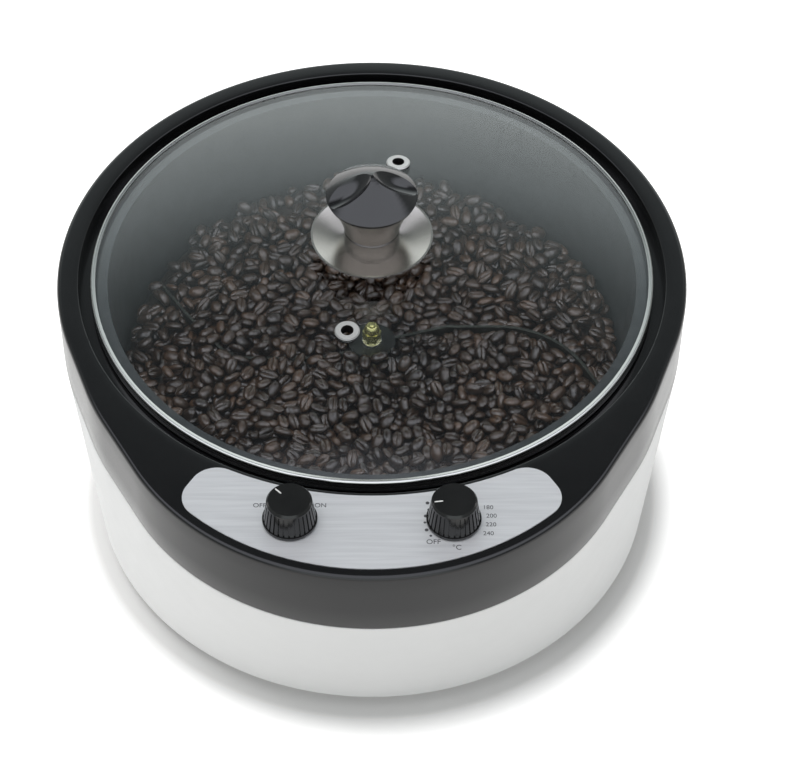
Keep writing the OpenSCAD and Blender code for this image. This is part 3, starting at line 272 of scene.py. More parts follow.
MATERIALS = {
    "black_body": finish("black_enamel", (0.0055, 0.0055, 0.006), (0.0075, 0.0075, 0.008),
                         (0.16, 0.20), 700, relief=0.03),
    "white_body": finish("white_enamel", (0.76, 0.76, 0.755), (0.79, 0.79, 0.785),
                         (0.28, 0.36), 90, relief=0.02),
    "brushed_panel": finish("brushed_aluminium", (0.66, 0.66, 0.675), (0.76, 0.76, 0.775),
                            (0.42, 0.56), 1.0, 0.55, (420, 9000, 600), 0.2, 0.00005),
    "zinc_plate": finish("zinc_plated", (0.42, 0.43, 0.45), (0.56, 0.57, 0.59), (0.32, 0.48),
                         240, 1.0, relief=0.1),
    "foot_rubber": finish("foot_rubber", (0.018, 0.018, 0.018), (0.028, 0.028, 0.028),
                          (0.7, 0.85), 1500, relief=0.3),
    "screw_steel": finish("screw_steel", (0.45, 0.45, 0.46), (0.6, 0.6, 0.61), (0.25, 0.4),
                          600, 1.0, relief=0.1),
    "seal_rubber": finish("seal_rubber", (0.22, 0.04, 0.035), (0.30, 0.06, 0.05), (0.6, 0.75),
                          900, relief=0.2),
    "coated_pan": finish("pan_coating", (0.040, 0.044, 0.046), (0.055, 0.060, 0.063),
                         (0.38, 0.5), 1800, 0.0, relief=0.25, depth=0.00012, specular=0.6),
    "bearing_bronze": finish("bearing_bronze", (0.45, 0.28, 0.12), (0.6, 0.4, 0.18),
                             (0.3, 0.42), 500, 1.0),
    "heater_steel": finish("heater_steel", (0.12, 0.105, 0.095), (0.22, 0.19, 0.17),
                           (0.4, 0.6), 300, 1.0, relief=0.2),
    "shield_aluminium": finish("shield_sheet", (0.62, 0.63, 0.64), (0.74, 0.75, 0.76),
                               (0.2, 0.36), 1.0, 1.0, (40, 1400, 300), 0.1),
    "case_aluminium": finish("cast_case", (0.46, 0.47, 0.48), (0.58, 0.59, 0.60), (0.4, 0.6),
                             1300, 1.0, relief=0.4),
    "winding": finish("motor_winding", (0.30, 0.11, 0.05), (0.48, 0.20, 0.09), (0.35, 0.5),
                      1.0, 0.3, (300, 300, 2600), 0.5),
    "dark_plastic": finish("dark_plastic", (0.028, 0.028, 0.03), (0.04, 0.04, 0.042),
                           (0.45, 0.6), 1400, relief=0.25),
    "pale_plastic": finish("pale_plastic", (0.68, 0.65, 0.57), (0.76, 0.73, 0.65),
                           (0.4, 0.55), 1100, relief=0.2),
    "copper_tube": finish("copper_tube", (0.58, 0.27, 0.14), (0.74, 0.40, 0.24), (0.22, 0.4),
                          500, 1.0),
    "pale_ceramic": finish("pale_ceramic", (0.74, 0.73, 0.68), (0.82, 0.81, 0.76),
                           (0.5, 0.7), 1500, relief=0.3),
    "blue_wire": finish("blue_wire", (0.03, 0.07, 0.26), (0.05, 0.10, 0.34), (0.4, 0.5), 800),
    "red_wire": finish("red_wire", (0.36, 0.03, 0.025), (0.46, 0.05, 0.04), (0.4, 0.5), 800),
    "black_wire": finish("black_wire", (0.03, 0.03, 0.033), (0.045, 0.045, 0.05),
                         (0.4, 0.5), 800),
    "shaft_steel": turned_metal("ground_steel", (0.5, 0.5, 0.51), (0.64, 0.64, 0.65),
                                (0.2, 0.32), 0.4, 3000),
    "gear_plastic": finish("gear_plastic", (0.70, 0.67, 0.55), (0.78, 0.75, 0.64),
                           (0.4, 0.5), 900),
    "hub_steel": finish("hub_coating", (0.030, 0.033, 0.030), (0.045, 0.050, 0.045),
                        (0.35, 0.5), 900, 0.2, relief=0.25),
    "blade_steel": finish("blade_sheet", (0.075, 0.08, 0.07), (0.12, 0.125, 0.11),
                          (0.3, 0.45), 600, 0.8, relief=0.2),
    "nut_brass": finish("polished_brass", (0.66, 0.62, 0.26), (0.82, 0.80, 0.42),
                        (0.2, 0.32), 500, 0.75, relief=0.08),
    "rim_steel": turned_metal("lid_rim_steel", (0.52, 0.52, 0.50), (0.66, 0.66, 0.64),
                              (0.2, 0.3), 0.3, 2500),
    # painted shade: the eyelets' faces that don't look up, bores and edges, are coloured near black
    "eyelet_metal": lit_on_top(finish("eyelet_metal", (0.50, 0.50, 0.49), (0.66, 0.66, 0.65),
                                      (0.3, 0.42), 900, 0.35, relief=0.1), (0.03, 0.03, 0.03)),
    "polished_steel": turned_metal("turned_steel", (0.38, 0.36, 0.335), (0.50, 0.48, 0.455),
                                   (0.18, 0.27), 0.75, 4000),
    "cap_plastic": finish("cap_gloss", (0.008, 0.008, 0.009), (0.012, 0.012, 0.013),
                          (0.10, 0.16), 900, relief=0.03, specular=0.62),
    "knob_plastic": finish("knob_gloss", (0.007, 0.007, 0.007), (0.011, 0.011, 0.011),
                           (0.13, 0.2), 1100, relief=0.05),
    "lid_glass": glass_of("lid_glass", (0.975, 0.99, 0.99), 0.01),
    "roasted_bean": bean_material(),
}
SLOT_OF = {s["node"]: s["material_slot"] for s in frame["record"]["subparts"]}
for node_name, ob in nodes.items():
    ob.data.materials.clear()
    ob.data.materials.append(MATERIALS[SLOT_OF[node_name]])
    ob.data.polygons.foreach_set("use_smooth", [True] * len(ob.data.polygons))
    ob.data.set_sharp_from_angle(angle=SHARP_ANGLE)


# ---------------------------------------------------------------- mesh helpers

def make_object(name, verts, faces, slot, body, sharp_angle=SHARP_ANGLE):
    """A piece from points in mm that rides on a body, in the material of the named slot."""
    mesh = bpy.data.meshes.new(name)
    mesh.from_pydata([(x * MM, y * MM, z * MM) for x, y, z in verts], [], faces)
    mesh.validate()
    mesh.update()
    mesh.materials.append(MATERIALS[slot])
    mesh.polygons.foreach_set("use_smooth", [True] * len(mesh.polygons))
    mesh.set_sharp_from_angle(angle=sharp_angle)
    ob = bpy.data.objects.new(name, mesh)
    bpy.context.scene.collection.objects.link(ob)
    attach(ob, body)
    return ob


def bevel(ob, width_mm):
    mod = ob.modifiers.new("edge", "BEVEL")
    mod.width = width_mm * MM
    mod.segments = 2
    mod.limit_method = "ANGLE"
    mod.angle_limit = math.radians(40)
    mod.harden_normals = True


def loft(rows):
    """Quads between closed rows of the same length; the last row joins the first."""
    verts = [p for row in rows for p in row]
    n, m = len(rows[0]), len(rows)
    faces = []
    for i in range(m):
        for k in range(n):
            a, b = i * n + k, i * n + (k + 1) % n
            c, d = ((i + 1) % m) * n + (k + 1) % n, ((i + 1) % m) * n + k
            faces.append((a, b, c, d))
    return verts, faces


def ring(radius, z, sides):
    """A level circle of points round the lid's axis, in mm."""
    return [(radius * math.cos(2 * math.pi * k / sides),
             AXIS_MM + radius * math.sin(2 * math.pi * k / sides), z) for k in range(sides)]


def cut(ob, cutters):
    """Takes the cutters' solids out of a piece's mesh and removes the cutters."""
    for cutter in cutters:
        mod = ob.modifiers.new("cut", "BOOLEAN")
        mod.operation = "DIFFERENCE"
        mod.solver = "EXACT"
        mod.object = cutter
    bpy.context.view_layer.update()
    graph = bpy.context.evaluated_depsgraph_get()
    mesh = bpy.data.meshes.new_from_object(ob.evaluated_get(graph))
    ob.modifiers.clear()
    ob.data = mesh
    ob.data.set_sharp_from_angle(angle=SHARP_ANGLE)
    for cutter in cutters:
        bpy.data.objects.remove(cutter)


def rod(radius_mm, length_mm, matrix):
    """A round cutter along its local Z, centred, placed by a matrix in metres."""
    mesh = bpy.data.meshes.new("cutter")
    bm = bmesh.new()
    bmesh.ops.create_cone(bm, cap_ends=True, segments=64, radius1=radius_mm * MM,
                          radius2=radius_mm * MM, depth=length_mm * MM)
    bm.to_mesh(mesh)
    bm.free()
    mesh.transform(matrix)
    ob = bpy.data.objects.new("cutter", mesh)
    bpy.context.scene.collection.objects.link(ob)
    return ob


# ---------------------------------------------------------------- housings

# mm: each arc's centre in front of the axis and its radius, for the back, sides and nose
PLAN = ((0.0, 161.5), (32.0, 150.5), (70.5, 131.5))
SEAM, DECK = 136.0, 175.0       # mm: heights of the housings' joint and of the upper face
FOOT_R, FOOT_Z = 152.0, 5.0     # mm: the drum's round foot


def plan_samples():
    """The normal's angle, the centre's distance in front and the radius, round the outline."""
    first = math.asin((PLAN[0][1] - PLAN[1][1]) / (PLAN[0][0] - PLAN[1][0]))
    second = math.asin((PLAN[1][1] - PLAN[2][1]) / (PLAN[1][0] - PLAN[2][0]))
    arcs = [(0, first, math.pi - first, 150), (1, math.pi - first, math.pi - second, 12),
            (2, math.pi - second, 2 * math.pi + second, 96),
            (1, 2 * math.pi + second, 2 * math.pi + first, 12)]
    return [(a0 + (a1 - a0) * i / n, *PLAN[c]) for c, a0, a1, n in arcs for i in range(n + 1)]


SAMPLES = plan_samples()


def plan_row(inset, z):
    """The egg-shaped outline, drawn in by inset."""
    return [((r - inset) * math.cos(a), AXIS_MM - c + (r - inset) * math.sin(a), z)
            for a, c, r in SAMPLES]


def round_row(radius, z):
    """A circle with as many points as the outline."""
    return [(radius * math.cos(a), AXIS_MM + radius * math.sin(a), z) for a, _, _ in SAMPLES]


def mixed_row(inset, z, low_z):
    """Between the round foot and the egg-shaped outline at the seam."""
    t = (z - low_z) / (SEAM - low_z)
    top = plan_row(inset, z)
    foot = round_row(FOOT_R - inset, z)
    return [tuple(f + (p - f) * t for f, p in zip(foot_point, point))
            for foot_point, point in zip(foot, top)]


def quarter(n):
    """The angles of a quarter turn in n steps."""
    return [math.radians(90.0 * i / n) for i in range(n + 1)]


def upper_housing():
    """The black housing: outer side, rounded upper edge, recess of the lid, pan's ledge."""
    edge, lip, wall, foot_edge = 2.4, 0.7, 3.0, 0.9
    recess_r, opening_r, inner_r = 150.5, 138.5, 147
    ledge_top, ledge_under, deck_under = 167, 164, 172
    rows = [plan_row(wall, SEAM)]
    rows += [plan_row(foot_edge * (1 - math.sin(a)), SEAM + foot_edge * (1 - math.cos(a)))
             for a in quarter(4)]
    rows += [plan_row(0, z) for z in (150, 164)]
    rows += [plan_row(edge * (1 - math.cos(a)), DECK - edge + edge * math.sin(a))
             for a in quarter(8)]
    rows += [round_row(recess_r + lip + 3, DECK)]
    rows += [round_row(recess_r + lip * (1 - math.sin(a)), DECK - lip * (1 - math.cos(a)))
             for a in quarter(5)]
    rows += [round_row(recess_r, ledge_top + 2), round_row(recess_r, ledge_top),
             round_row(opening_r, ledge_top), round_row(opening_r, ledge_under),
             round_row(inner_r, ledge_under), plan_row(wall, deck_under)]
    return make_object("upper_shell", *loft(rows), "black_body", "body")


def drum():
    """The white drum, round at its foot and egg-shaped at the seam, with its holes."""
    wall, edge, low_z, rim = 2.5, 7.0, 12.0, 0.8
    inner_r, opening_r, floor_top = 145, 124, 7.5
    gland_hole_r, screw_hole_r, screw_circle_r, screw_z = 7.9, 2.2, 133.5, 6
    rows = [mixed_row(wall, SEAM, low_z), mixed_row(wall, 80, low_z),
            mixed_row(wall, low_z, low_z), round_row(inner_r, floor_top),
            round_row(opening_r, floor_top), round_row(opening_r, FOOT_Z)]
    rows += [round_row(FOOT_R - edge * (1 - math.sin(a)), FOOT_Z + edge * (1 - math.cos(a)))
             for a in quarter(8)]
    rows += [mixed_row(0, z, low_z) for z in np.linspace(low_z, SEAM - rim, 12)[1:]]
    rows += [mixed_row(rim * (1 - math.cos(a)), SEAM - rim + rim * math.sin(a), low_z)
             for a in quarter(4)[1:]]
    ob = make_object("drum_shell", *loft(rows), "white_body", "body")
    gland = (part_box("cord_gland")[0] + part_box("cord_gland")[1]) / 2
    at_gland = Matrix.Translation((0, gland.y, gland.z)) @ Matrix.Rotation(math.pi / 2, 4, "X")
    holes = [rod(gland_hole_r, 30, at_gland)]
    for k in range(4):
        a = math.radians(45 + 90 * k)
        at_screw = Vector((screw_circle_r * math.cos(a),
                           AXIS_MM + screw_circle_r * math.sin(a), screw_z)) * MM
        holes.append(rod(screw_hole_r, 12, Matrix.Translation(at_screw)))
    cut(ob, holes)
    return ob


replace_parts(upper_housing(), "upper_housing")
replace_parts(drum(), "drum")
bevel(nodes["control_panel"], 0.3)


# ---------------------------------------------------------------- lid

def glass_dome():
    """The domed glass, as fine as its gloss needs, with the holes of its two vents."""
    seat, edge_r, foot_r, top, rise, thick = 169.5, 143.3, 141.9, 190.0, 15.8, 3.6
    knob_hole_r, vent_hole_r, land, sides = 5.5, 4.2, 1.2, 200
    ball_r = (foot_r * foot_r + rise * rise) / (2 * rise)
    ball_z = top - ball_r

    def on_ball(r, radius):
        return ball_z + math.sqrt(radius * radius - r * r)

    outer = [edge_r - (edge_r - knob_hole_r) * i / 40 for i in range(41)]
    inner = [knob_hole_r + (edge_r - land - knob_hole_r) * i / 40 for i in range(41)]
    profile = [(r, on_ball(r, ball_r)) for r in outer]
    profile += [(r, on_ball(r, ball_r - thick)) for r in inner]
    profile += [(edge_r - land, seat + 0.1), (edge_r, seat + 0.1)]
    rows = [ring(r, z, sides) for r, z in profile]
    ob = make_object("dome_glass", *loft(rows), "lid_glass", "lid")
    centre = Vector((0, AXIS_Y, ball_z * MM))
    vents = []
    for radius, turn in ((67, 78), (58.5, 258)):
        tilt = math.asin(radius / ball_r)
        way = Vector((math.cos(math.radians(turn)) * math.sin(tilt),
                      math.sin(math.radians(turn)) * math.sin(tilt), math.cos(tilt)))
        at_vent = Matrix.Translation(centre + way * (ball_r - 2) * MM)
        turned = way.to_track_quat("Z", "Y").to_matrix().to_4x4()
        vents.append(rod(vent_hole_r, 20, at_vent @ turned))
    cut(ob, vents)
    return ob


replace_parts(glass_dome(), "lid_glass")


# ---------------------------------------------------------------- beans

# mm: height of the bed; half the distance of a bean's two end balls, and their radius
BED_Z, ROD, CONTACT = 110.5, 2.15, 2.75
HUB_R, WALL_R, START_R = 12.5, 130.6, 126       # mm: beans stay and start between these
BLADE_GAP = 0.9                 # mm, kept free beside a blade
CLEAR_R, CLEAR_Z = 7.5, 112.0   # mm: beans this near the long blade lie this low
SINK, PUSH = 0.16, 0.42         # mm that beans sink, and the share of an overlap undone, a round
STEEPEST = 0.6                  # how far a bean's direction points up or down at most
ROUNDS, SETTLING = 110, 20      # rounds in all, and those at the end without sinking
BEAN_SHARP_ANGLE = math.radians(80)


def walk(x, y, heading, legs):
    """The points of a way of straight and bent legs: length, turn and pieces of each."""
    path = [(x, y)]
    for length, turn, pieces in legs:
        for _ in range(pieces):
            middle = math.radians(heading + turn / pieces / 2)
            x += length / pieces * math.cos(middle)
            y += length / pieces * math.sin(middle)
            heading += turn / pieces
            path.append((x, y))
    return path


def blade_paths():
    """The middle lines of the long and the short blade, seen from above, in mm."""
    root = (11.5 * math.cos(math.radians(22)), 11.5 * math.sin(math.radians(22)))
    arc = math.pi / 180
    long_way = walk(*root, 16.5, [(27, 0, 1), (6, -16.5, 3), (24, 0, 1),
                                  (50 * 62 * arc, -62, 10), (20, -3, 1)])
    short_way = walk(*root, 22, [(8, 0, 1), (14, -22, 4), (32, 0, 1),
                                 (22 * 50 * arc, -50, 8), (48, -8, 3), (7, 0, 1)])
    return np.array(long_way), -np.array(short_way)


def offset_from(points, p, q):
    """From the nearest point of the line between p and q to each point."""
    d = q - p
    t = np.clip(((points - p) @ d) / (d @ d), 0, 1)
    return points - (p + t[:, None] * d)


def lengths(vectors):
    return np.maximum(np.linalg.norm(vectors, axis=1), 1e-6)


def close_pairs(ends):
    """The pairs of end balls of different beans that could touch."""
    tree = KDTree(len(ends))
    for i, p in enumerate(ends):
        tree.insert(p, i)
    tree.balance()
    return np.array([(i, j) for i, p in enumerate(ends)
                     for _, j, _ in tree.find_range(p, 2 * CONTACT + 1.0)
                     if j > i and j // 2 != i // 2])


def settle_beans(count):
    """Both ends of each bean, in mm round the lid's axis, after they sink and push apart."""
    rng = np.random.default_rng(7)
    radius = START_R * np.sqrt(rng.random(count))
    angle = rng.random(count) * 2 * np.pi
    middle = np.stack([radius * np.cos(angle), radius * np.sin(angle),
                       BED_Z + 2.5 + rng.random(count) * 10], 1)
    yaw = rng.random(count) * 2 * np.pi
    pitch = rng.normal(0, 0.35, count)
    way = np.stack([np.cos(yaw) * np.cos(pitch), np.sin(yaw) * np.cos(pitch), np.sin(pitch)], 1)
    ends = np.stack([middle - way * ROD, middle + way * ROD], 1).reshape(-1, 3)
    long_path, short_path = blade_paths()
    long_blade = list(zip(long_path, long_path[1:]))
    blades = long_blade + list(zip(short_path, short_path[1:]))
    for step in range(ROUNDS):
        if step % 8 == 0:
            pairs = close_pairs(ends)
        if step < ROUNDS - SETTLING:
            ends[:, 2] -= SINK
        a, b = pairs[:, 0], pairs[:, 1]
        gap = ends[b] - ends[a]
        dist = lengths(gap)
        push = np.maximum(0, 2 * CONTACT - dist) * PUSH
        move = gap / dist[:, None] * push[:, None]
        np.add.at(ends, a, -move)
        np.add.at(ends, b, move)
        for p, q in blades:
            away = offset_from(ends[:, :2], p, q)
            far = lengths(away)
            need = np.maximum(0, CONTACT + BLADE_GAP - far)
            ends[:, :2] += away / far[:, None] * need[:, None]
        flat = lengths(ends[:, :2])
        limit = np.clip(flat, HUB_R + CONTACT, WALL_R - CONTACT)
        ends[:, :2] *= (limit / flat)[:, None]
        ends[:, 2] = np.maximum(ends[:, 2], BED_Z + CONTACT * 0.5)
        mid = (ends[0::2] + ends[1::2]) / 2
        way = ends[1::2] - ends[0::2]
        way /= lengths(way)[:, None]
        way[:, 2] = np.clip(way[:, 2], -STEEPEST, STEEPEST)
        way /= np.linalg.norm(way, axis=1)[:, None]
        ends[0::2], ends[1::2] = mid - way * ROD, mid + way * ROD
    mid = (ends[0::2] + ends[1::2]) / 2
    near = np.min([np.linalg.norm(offset_from(mid[:, :2], p, q), axis=1)
                   for p, q in long_blade], axis=0)
    sink = np.where(near < CLEAR_R, np.maximum(0, mid[:, 2] - CLEAR_Z), 0)
    for side in (ends[0::2], ends[1::2]):
        side[:, 2] -= sink
    return ends[0::2], ends[1::2]


def bean_form():
    """One bean along X with its creased flat side down: points, faces, crease strength."""
    half_length, half_width, back, belly = 4.45, 3.05, 2.3, 1.7
    crease_depth, crease_wave, tip_x, tip_z = 0.9, 0.4, 4.5, -0.2
    crease_at = -90
    around = [crease_at, -74, -50, -12, 34, 90, 146, 192, 230, 254]
    along = [-0.92, -0.68, -0.36, 0.0, 0.36, 0.68, 0.92]
    verts, crease = [(-tip_x, 0, tip_z)], [0.0]
    for t in along:
        full = (1 - abs(t) ** 2.5) ** 0.5
        for a in around:
            c, s = math.cos(math.radians(a)), math.sin(math.radians(a))
            y = half_width * c * full
            z = (back if s > 0 else belly) * s * full
            if a == crease_at:
                z += crease_depth * full
                y += crease_wave * math.sin(t * 2.6)
            verts.append((half_length * t, y, z))
            crease.append(1.0 if a == crease_at else 0.0)
    verts.append((tip_x, 0, tip_z))
    crease.append(0.0)
    n, rows = len(around), len(along)
    faces = [(0, 1 + (k + 1) % n, 1 + k) for k in range(n)]
    faces += [(1 + i * n + k, 1 + i * n + (k + 1) % n, 1 + (i + 1) * n + (k + 1) % n,
               1 + (i + 1) * n + k) for i in range(rows - 1) for k in range(n)]
    last = 1 + rows * n
    faces += [(last, 1 + (rows - 1) * n + k, 1 + (rows - 1) * n + (k + 1) % n) for k in range(n)]
    return np.array(verts), faces, np.array(crease)


def bean_roll(rng):
    """How far a bean is turned about its length: more of them show their round back."""
    if rng.random() < 0.36:
        roll = rng.gauss(180, 24)
    else:
        roll = rng.gauss(0, 26)
    if rng.random() < 0.12:
        roll = rng.uniform(0, 360)
    return math.radians(roll)


def coffee_beans(name, low, high, seed):
    rng = random.Random(seed)
    form, faces, crease = bean_form()
    verts, all_faces, tints, grooves = [], [], [], []
    for p, q in zip(low, high):
        way = Vector(q - p).normalized()
        side = Vector((0, 0, 1)).cross(way).normalized()
        up = way.cross(side)
        turn = Matrix((way, side, up)).transposed() @ Matrix.Rotation(bean_roll(rng), 3, "X")
        size = [rng.uniform(0.98, 1.18), rng.uniform(0.98, 1.16), rng.uniform(0.98, 1.2)]
        middle = (p + q) / 2 + np.array([0, AXIS_MM, 0])
        start = len(verts) * len(form)
        verts.append((form * size) @ np.array(turn).T + middle)
        all_faces += [tuple(start + v for v in face) for face in faces]
        tints += [rng.random()] * len(form)
        grooves.append(crease)
    points = np.concatenate(verts)
    ob = make_object(name, points.tolist(), all_faces, "roasted_bean", "stirrer",
                     BEAN_SHARP_ANGLE)
    for label, values in (("tint", tints), ("groove", np.concatenate(grooves).tolist())):
        ob.data.attributes.new(label, "FLOAT", "POINT").data.foreach_set("value", values)


def bean_bed():
    """The beans below those that show: one dark lumpy bed on the pan's floor."""
    floor_z, shoulder_z, sides, steps = 99.0, 106, 120, 26
    hub_r, wall_r, top_r, floor_r = 14, 129.2, 126, 118
    swell, grain = 1.6, 0.16
    rows = [ring(hub_r, floor_z + 1, sides)]
    for i in range(steps + 1):
        row = []
        for x, y, z in ring(hub_r + (top_r - hub_r) * i / steps, BED_Z, sides):
            lump = noise.noise(Vector((x * grain, (y - AXIS_MM) * grain, 3.0)))
            row.append((x, y, z + swell * lump))
        rows.append(row)
    rows += [ring(wall_r, shoulder_z, sides), ring(floor_r, floor_z, sides)]
    make_object("bean_bed", *loft(rows), "roasted_bean", "stirrer", BEAN_SHARP_ANGLE)


def beans(count):
    bean_bed()
    low, high = settle_beans(count)
    half = count // 2
    coffee_beans("coffee_beans_1", low[:half], high[:half], 11)
    coffee_beans("coffee_beans_2", low[half:], high[half:], 12)


# ---------------------------------------------------------------- marks on the panel

PANEL_Z = 0.1755        # height of the control panel's face
PRINT = finish("panel_print", (0.05, 0.05, 0.055), (0.09, 0.09, 0.095), (0.5, 0.65), 1500)
WHITE_PAINT = finish("white_paint", (0.78, 0.78, 0.77), (0.86, 0.86, 0.85), (0.45, 0.6), 1800)


def add_piece(name, mesh, material, body):
    mesh.materials.append(material)
    ob = bpy.data.objects.new(name, mesh)
    bpy.context.scene.collection.objects.link(ob)
    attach(ob, body)


def on_panel(column, line):
    """Where the sight line of a point of the photograph meets the control panel."""
    focal, middle_column, middle_line = 2526.7, 371.81, 392
    tilt = math.radians(CAMERA_TILT)
    side, up = (column - middle_column) / focal, (middle_line - line) / focal
    way = (side, math.cos(tilt) + up * math.sin(tilt), up * math.cos(tilt) - math.sin(tilt))
    reach = (PANEL_Z - CAMERA[2]) / way[2]
    return CAMERA[0] + way[0] * reach, CAMERA[1] + way[1] * reach


def mark(name, text, column, line, size):
    """Printed text, size in mm, that lies on the panel."""
    curve = bpy.data.curves.new(name, "FONT")
    curve.body = text
    curve.size = size * MM
    curve.align_x = "CENTER"
    curve.align_y = "CENTER"
    curve.extrude = 0.00003
    ob = bpy.data.objects.new(name, curve)
    bpy.context.scene.collection.objects.link(ob)
    ob.location = (*on_panel(column, line), PANEL_Z + 0.00003)
    bpy.context.view_layer.update()
    mesh = bpy.data.meshes.new_from_object(ob)
    mesh.transform(ob.matrix_world)
    bpy.data.objects.remove(ob)
    mesh.materials.clear()
    add_piece(name, mesh, PRINT, "body")


def dial_marks():
    """Words, numbers and dots round the two controls, placed by columns and lines."""
    words = [("switch_off", "OFF", 259.5, 505.5, 3.6), ("switch_on", "ON", 320.5, 505.5, 3.6),
             ("dial_off", "OFF", 433.5, 542.0, 3.9), ("dial_celsius", "\u00b0C", 457.0, 547.6, 4.0),
             ("dial_180", "180", 488.0, 507.5, 3.4), ("dial_200", "200", 491.5, 515.9, 3.4),
             ("dial_220", "220", 491.0, 524.6, 3.4), ("dial_240", "240", 488.5, 533.5, 3.4)]
    for word in words:
        mark(*word)
    dots = bmesh.new()
    spots = [(427.5, 503.0), (428.6, 509.6), (425.7, 516.0), (424.9, 522.5), (426.6, 530.0),
             (430.8, 535.8)]
    for k, spot in enumerate(spots):
        bmesh.ops.create_circle(dots, cap_ends=True, segments=20, radius=(0.9, 0.65)[k % 2] * MM,
                                matrix=Matrix.Translation((*on_panel(*spot), PANEL_Z + 0.00002)))
    mesh = bpy.data.meshes.new("dial_dots")
    dots.to_mesh(mesh)
    dots.free()
    add_piece("dial_dots", mesh, PRINT, "body")


def pointers():
    """White paint in the grooves of the two control knobs."""
    knob_x, knob_y, paint_z = 38.5, AXIS_Y - 0.1675, 0.19045
    from_middle, length, width, height = 7.4, 4.0, 0.7, 0.34
    for name, body, x, angle in (("switch_pointer", "switch", -knob_x, 135),
                                 ("dial_pointer", "temperature_dial", knob_x, 188)):
        bm = bmesh.new()
        bmesh.ops.create_cube(bm, size=1.0)
        bmesh.ops.bevel(bm, geom=bm.edges[:], offset=0.12, segments=2, affect="EDGES")
        bm.transform(Matrix.Translation((x * MM, knob_y, paint_z))
                     @ Matrix.Rotation(math.radians(angle), 4, "Z")
                     @ Matrix.Translation((from_middle * MM, 0, 0))
                     @ Matrix.Diagonal((length * MM, width * MM, height * MM, 1)))
        mesh = bpy.data.meshes.new(name)
        bm.to_mesh(mesh)
        bm.free()
        add_piece(name, mesh, WHITE_PAINT, body)


dial_marks()
pointers()
beans(count=1760)


# ---------------------------------------------------------------- floor, light, camera

def floor():
    """A matt floor that shows white, with a painted shadow: its glow is weaker in a narrow band
    round the object's foot.
    """
    mesh = bpy.data.meshes.new("floor")
    bm = bmesh.new()
    bmesh.ops.create_grid(bm, x_segments=4, y_segments=4, size=12)
    bm.to_mesh(mesh)
    bm.free()
    ob = bpy.data.objects.new("floor", mesh)
    bpy.context.scene.collection.objects.link(ob)
    mat, tree, shader = new_material("floor")
    shader.inputs["Base Color"].default_value = (0.86, 0.85, 0.84, 1)
    shader.inputs["Roughness"].default_value = 1.0
    shader.inputs["Specular IOR Level"].default_value = 0.0
    path = add(tree, "ShaderNodeLightPath")
    direct = maths(tree, "MAXIMUM", path.outputs["Is Camera Ray"],
                   path.outputs["Is Transmission Ray"])
    seen = maths(tree, "MAXIMUM", direct, path.outputs["Is Glossy Ray"])
    away = length_of(tree, place(tree, (1, 1, 1), (0, -AXIS_Y, 0)))
    glow_with_painted_shadow = add(tree, "ShaderNodeMix", data_type="FLOAT")
    feed(tree, glow_with_painted_shadow.inputs["Factor"], direct)
    feed(tree, glow_with_painted_shadow.inputs["A"], 0.30)
    # painted shadow: for camera rays the glow drops from 0.72 to 0.04 within 157 to 173 mm of the
    # lid's axis
    feed(tree, glow_with_painted_shadow.inputs["B"], spread(tree, away, 0.04, 0.72, 0.157, 0.173))
    shader.inputs["Emission Color"].default_value = (1, 1, 1, 1)
    feed(tree, shader.inputs["Emission Strength"],
         maths(tree, "MULTIPLY", seen, glow_with_painted_shadow.outputs["Result"]))
    mesh.materials.append(mat)


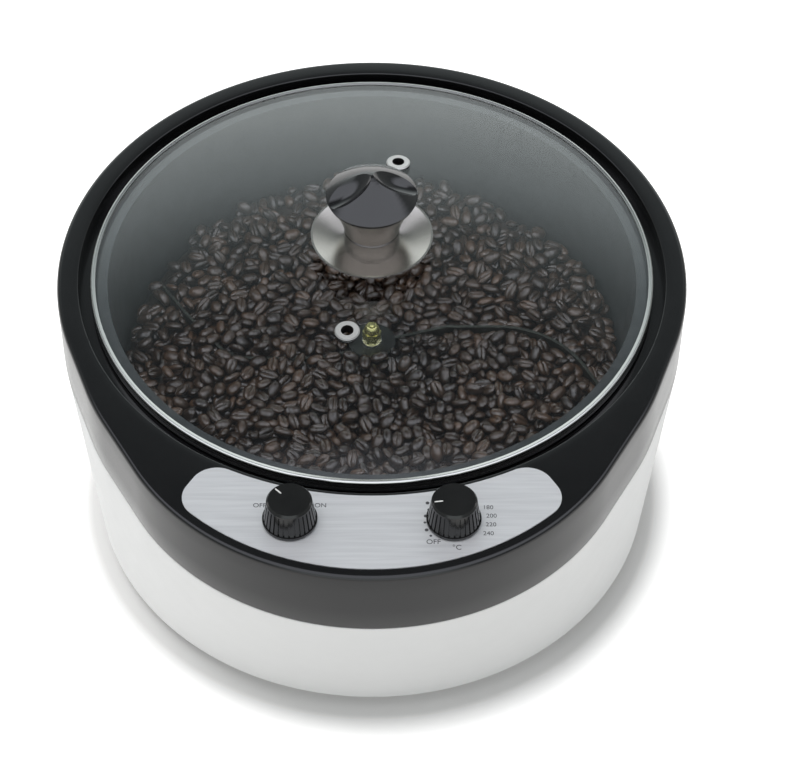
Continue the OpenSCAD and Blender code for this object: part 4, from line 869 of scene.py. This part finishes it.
def world():
    """A sky that is bright low down and white behind the object.

    Shiny pieces see their own sky: dimmer far to the sides, and a bright field that hangs
    before the object and beside it.
    """
    w = bpy.data.worlds.new("studio")
    bpy.context.scene.world = w
    w.use_nodes = True
    tree = w.node_tree
    back = tree.nodes["Background"]
    coords = add(tree, "ShaderNodeTexCoord")
    x, y, z = split_up(tree, coords.outputs["Generated"])
    light = ramp(tree, z, [
        (0.0, (0.70, 0.72, 0.72)), (0.36, (0.70, 0.72, 0.72)), (0.52, (0.52, 0.54, 0.54)),
        (0.66, (0.19, 0.20, 0.20)), (0.78, (0.08, 0.08, 0.085)), (1.0, (0.05, 0.055, 0.055))])
    shine = ramp(tree, z, [
        (0.0, (0.93, 1.0, 1.0)), (0.36, (0.93, 1.0, 1.0)), (0.52, (0.66, 0.73, 0.74)),
        (0.66, (0.24, 0.275, 0.28)), (0.78, (0.09, 0.10, 0.105)), (1.0, (0.06, 0.065, 0.07))])
    width = maths(tree, "ABSOLUTE", x)
    shine = mixed(tree, spread(tree, width, 0.0, 0.72, 0.40, 0.60), shine, (0, 0, 0), "MULTIPLY")
    beside = maths(tree, "MULTIPLY", spread(tree, y, 1.0, 0.0, 0.35, 0.5),
                   spread(tree, width, 0.0, 1.0, 0.38, 0.46))
    before = maths(tree, "MAXIMUM", spread(tree, y, 1.0, 0.0, 0.02, 0.34), beside)
    above = spread(tree, z, 0.0, 1.0, 0.5, 0.64)
    shine = mixed(tree, maths(tree, "MULTIPLY", before, above), shine, (1.15, 1.19, 1.30))
    path = add(tree, "ShaderNodeLightPath")
    sky = mixed(tree, path.outputs["Is Glossy Ray"], light, shine)
    sky = mixed(tree, path.outputs["Is Camera Ray"], sky, (0.72, 0.72, 0.72))
    tree.links.new(sky, back.inputs["Color"])
    back.inputs["Strength"].default_value = 1.4


def sun(name, strength, angle, azimuth, height):
    """A soft light, its angles in degrees, that shows in no reflection."""
    data = bpy.data.lights.new(name, "SUN")
    data.energy = strength
    data.angle = math.radians(angle)
    ob = bpy.data.objects.new(name, data)
    bpy.context.scene.collection.objects.link(ob)
    a, e = math.radians(azimuth), math.radians(height)
    way = Vector((math.cos(a) * math.cos(e), math.sin(a) * math.cos(e), math.sin(e)))
    ob.rotation_euler = way.to_track_quat("Z", "Y").to_euler()
    ob.visible_glossy = False
    ob.visible_transmission = False


def camera():
    """The photograph's camera; the shift puts its middle where the photograph's was."""
    data = bpy.data.cameras.new("camera")
    data.sensor_width = 36
    data.lens = 113.7
    data.shift_x = 0.0352
    ob = bpy.data.objects.new("camera", data)
    bpy.context.scene.collection.objects.link(ob)
    ob.location = CAMERA
    ob.rotation_euler = (math.radians(90 - CAMERA_TILT), 0, 0)
    bpy.context.scene.camera = ob


floor()
world()
sun("key", strength=1.75, angle=34, azimuth=165, height=79)
camera()
bpy.context.scene.view_settings.view_transform = "Standard"
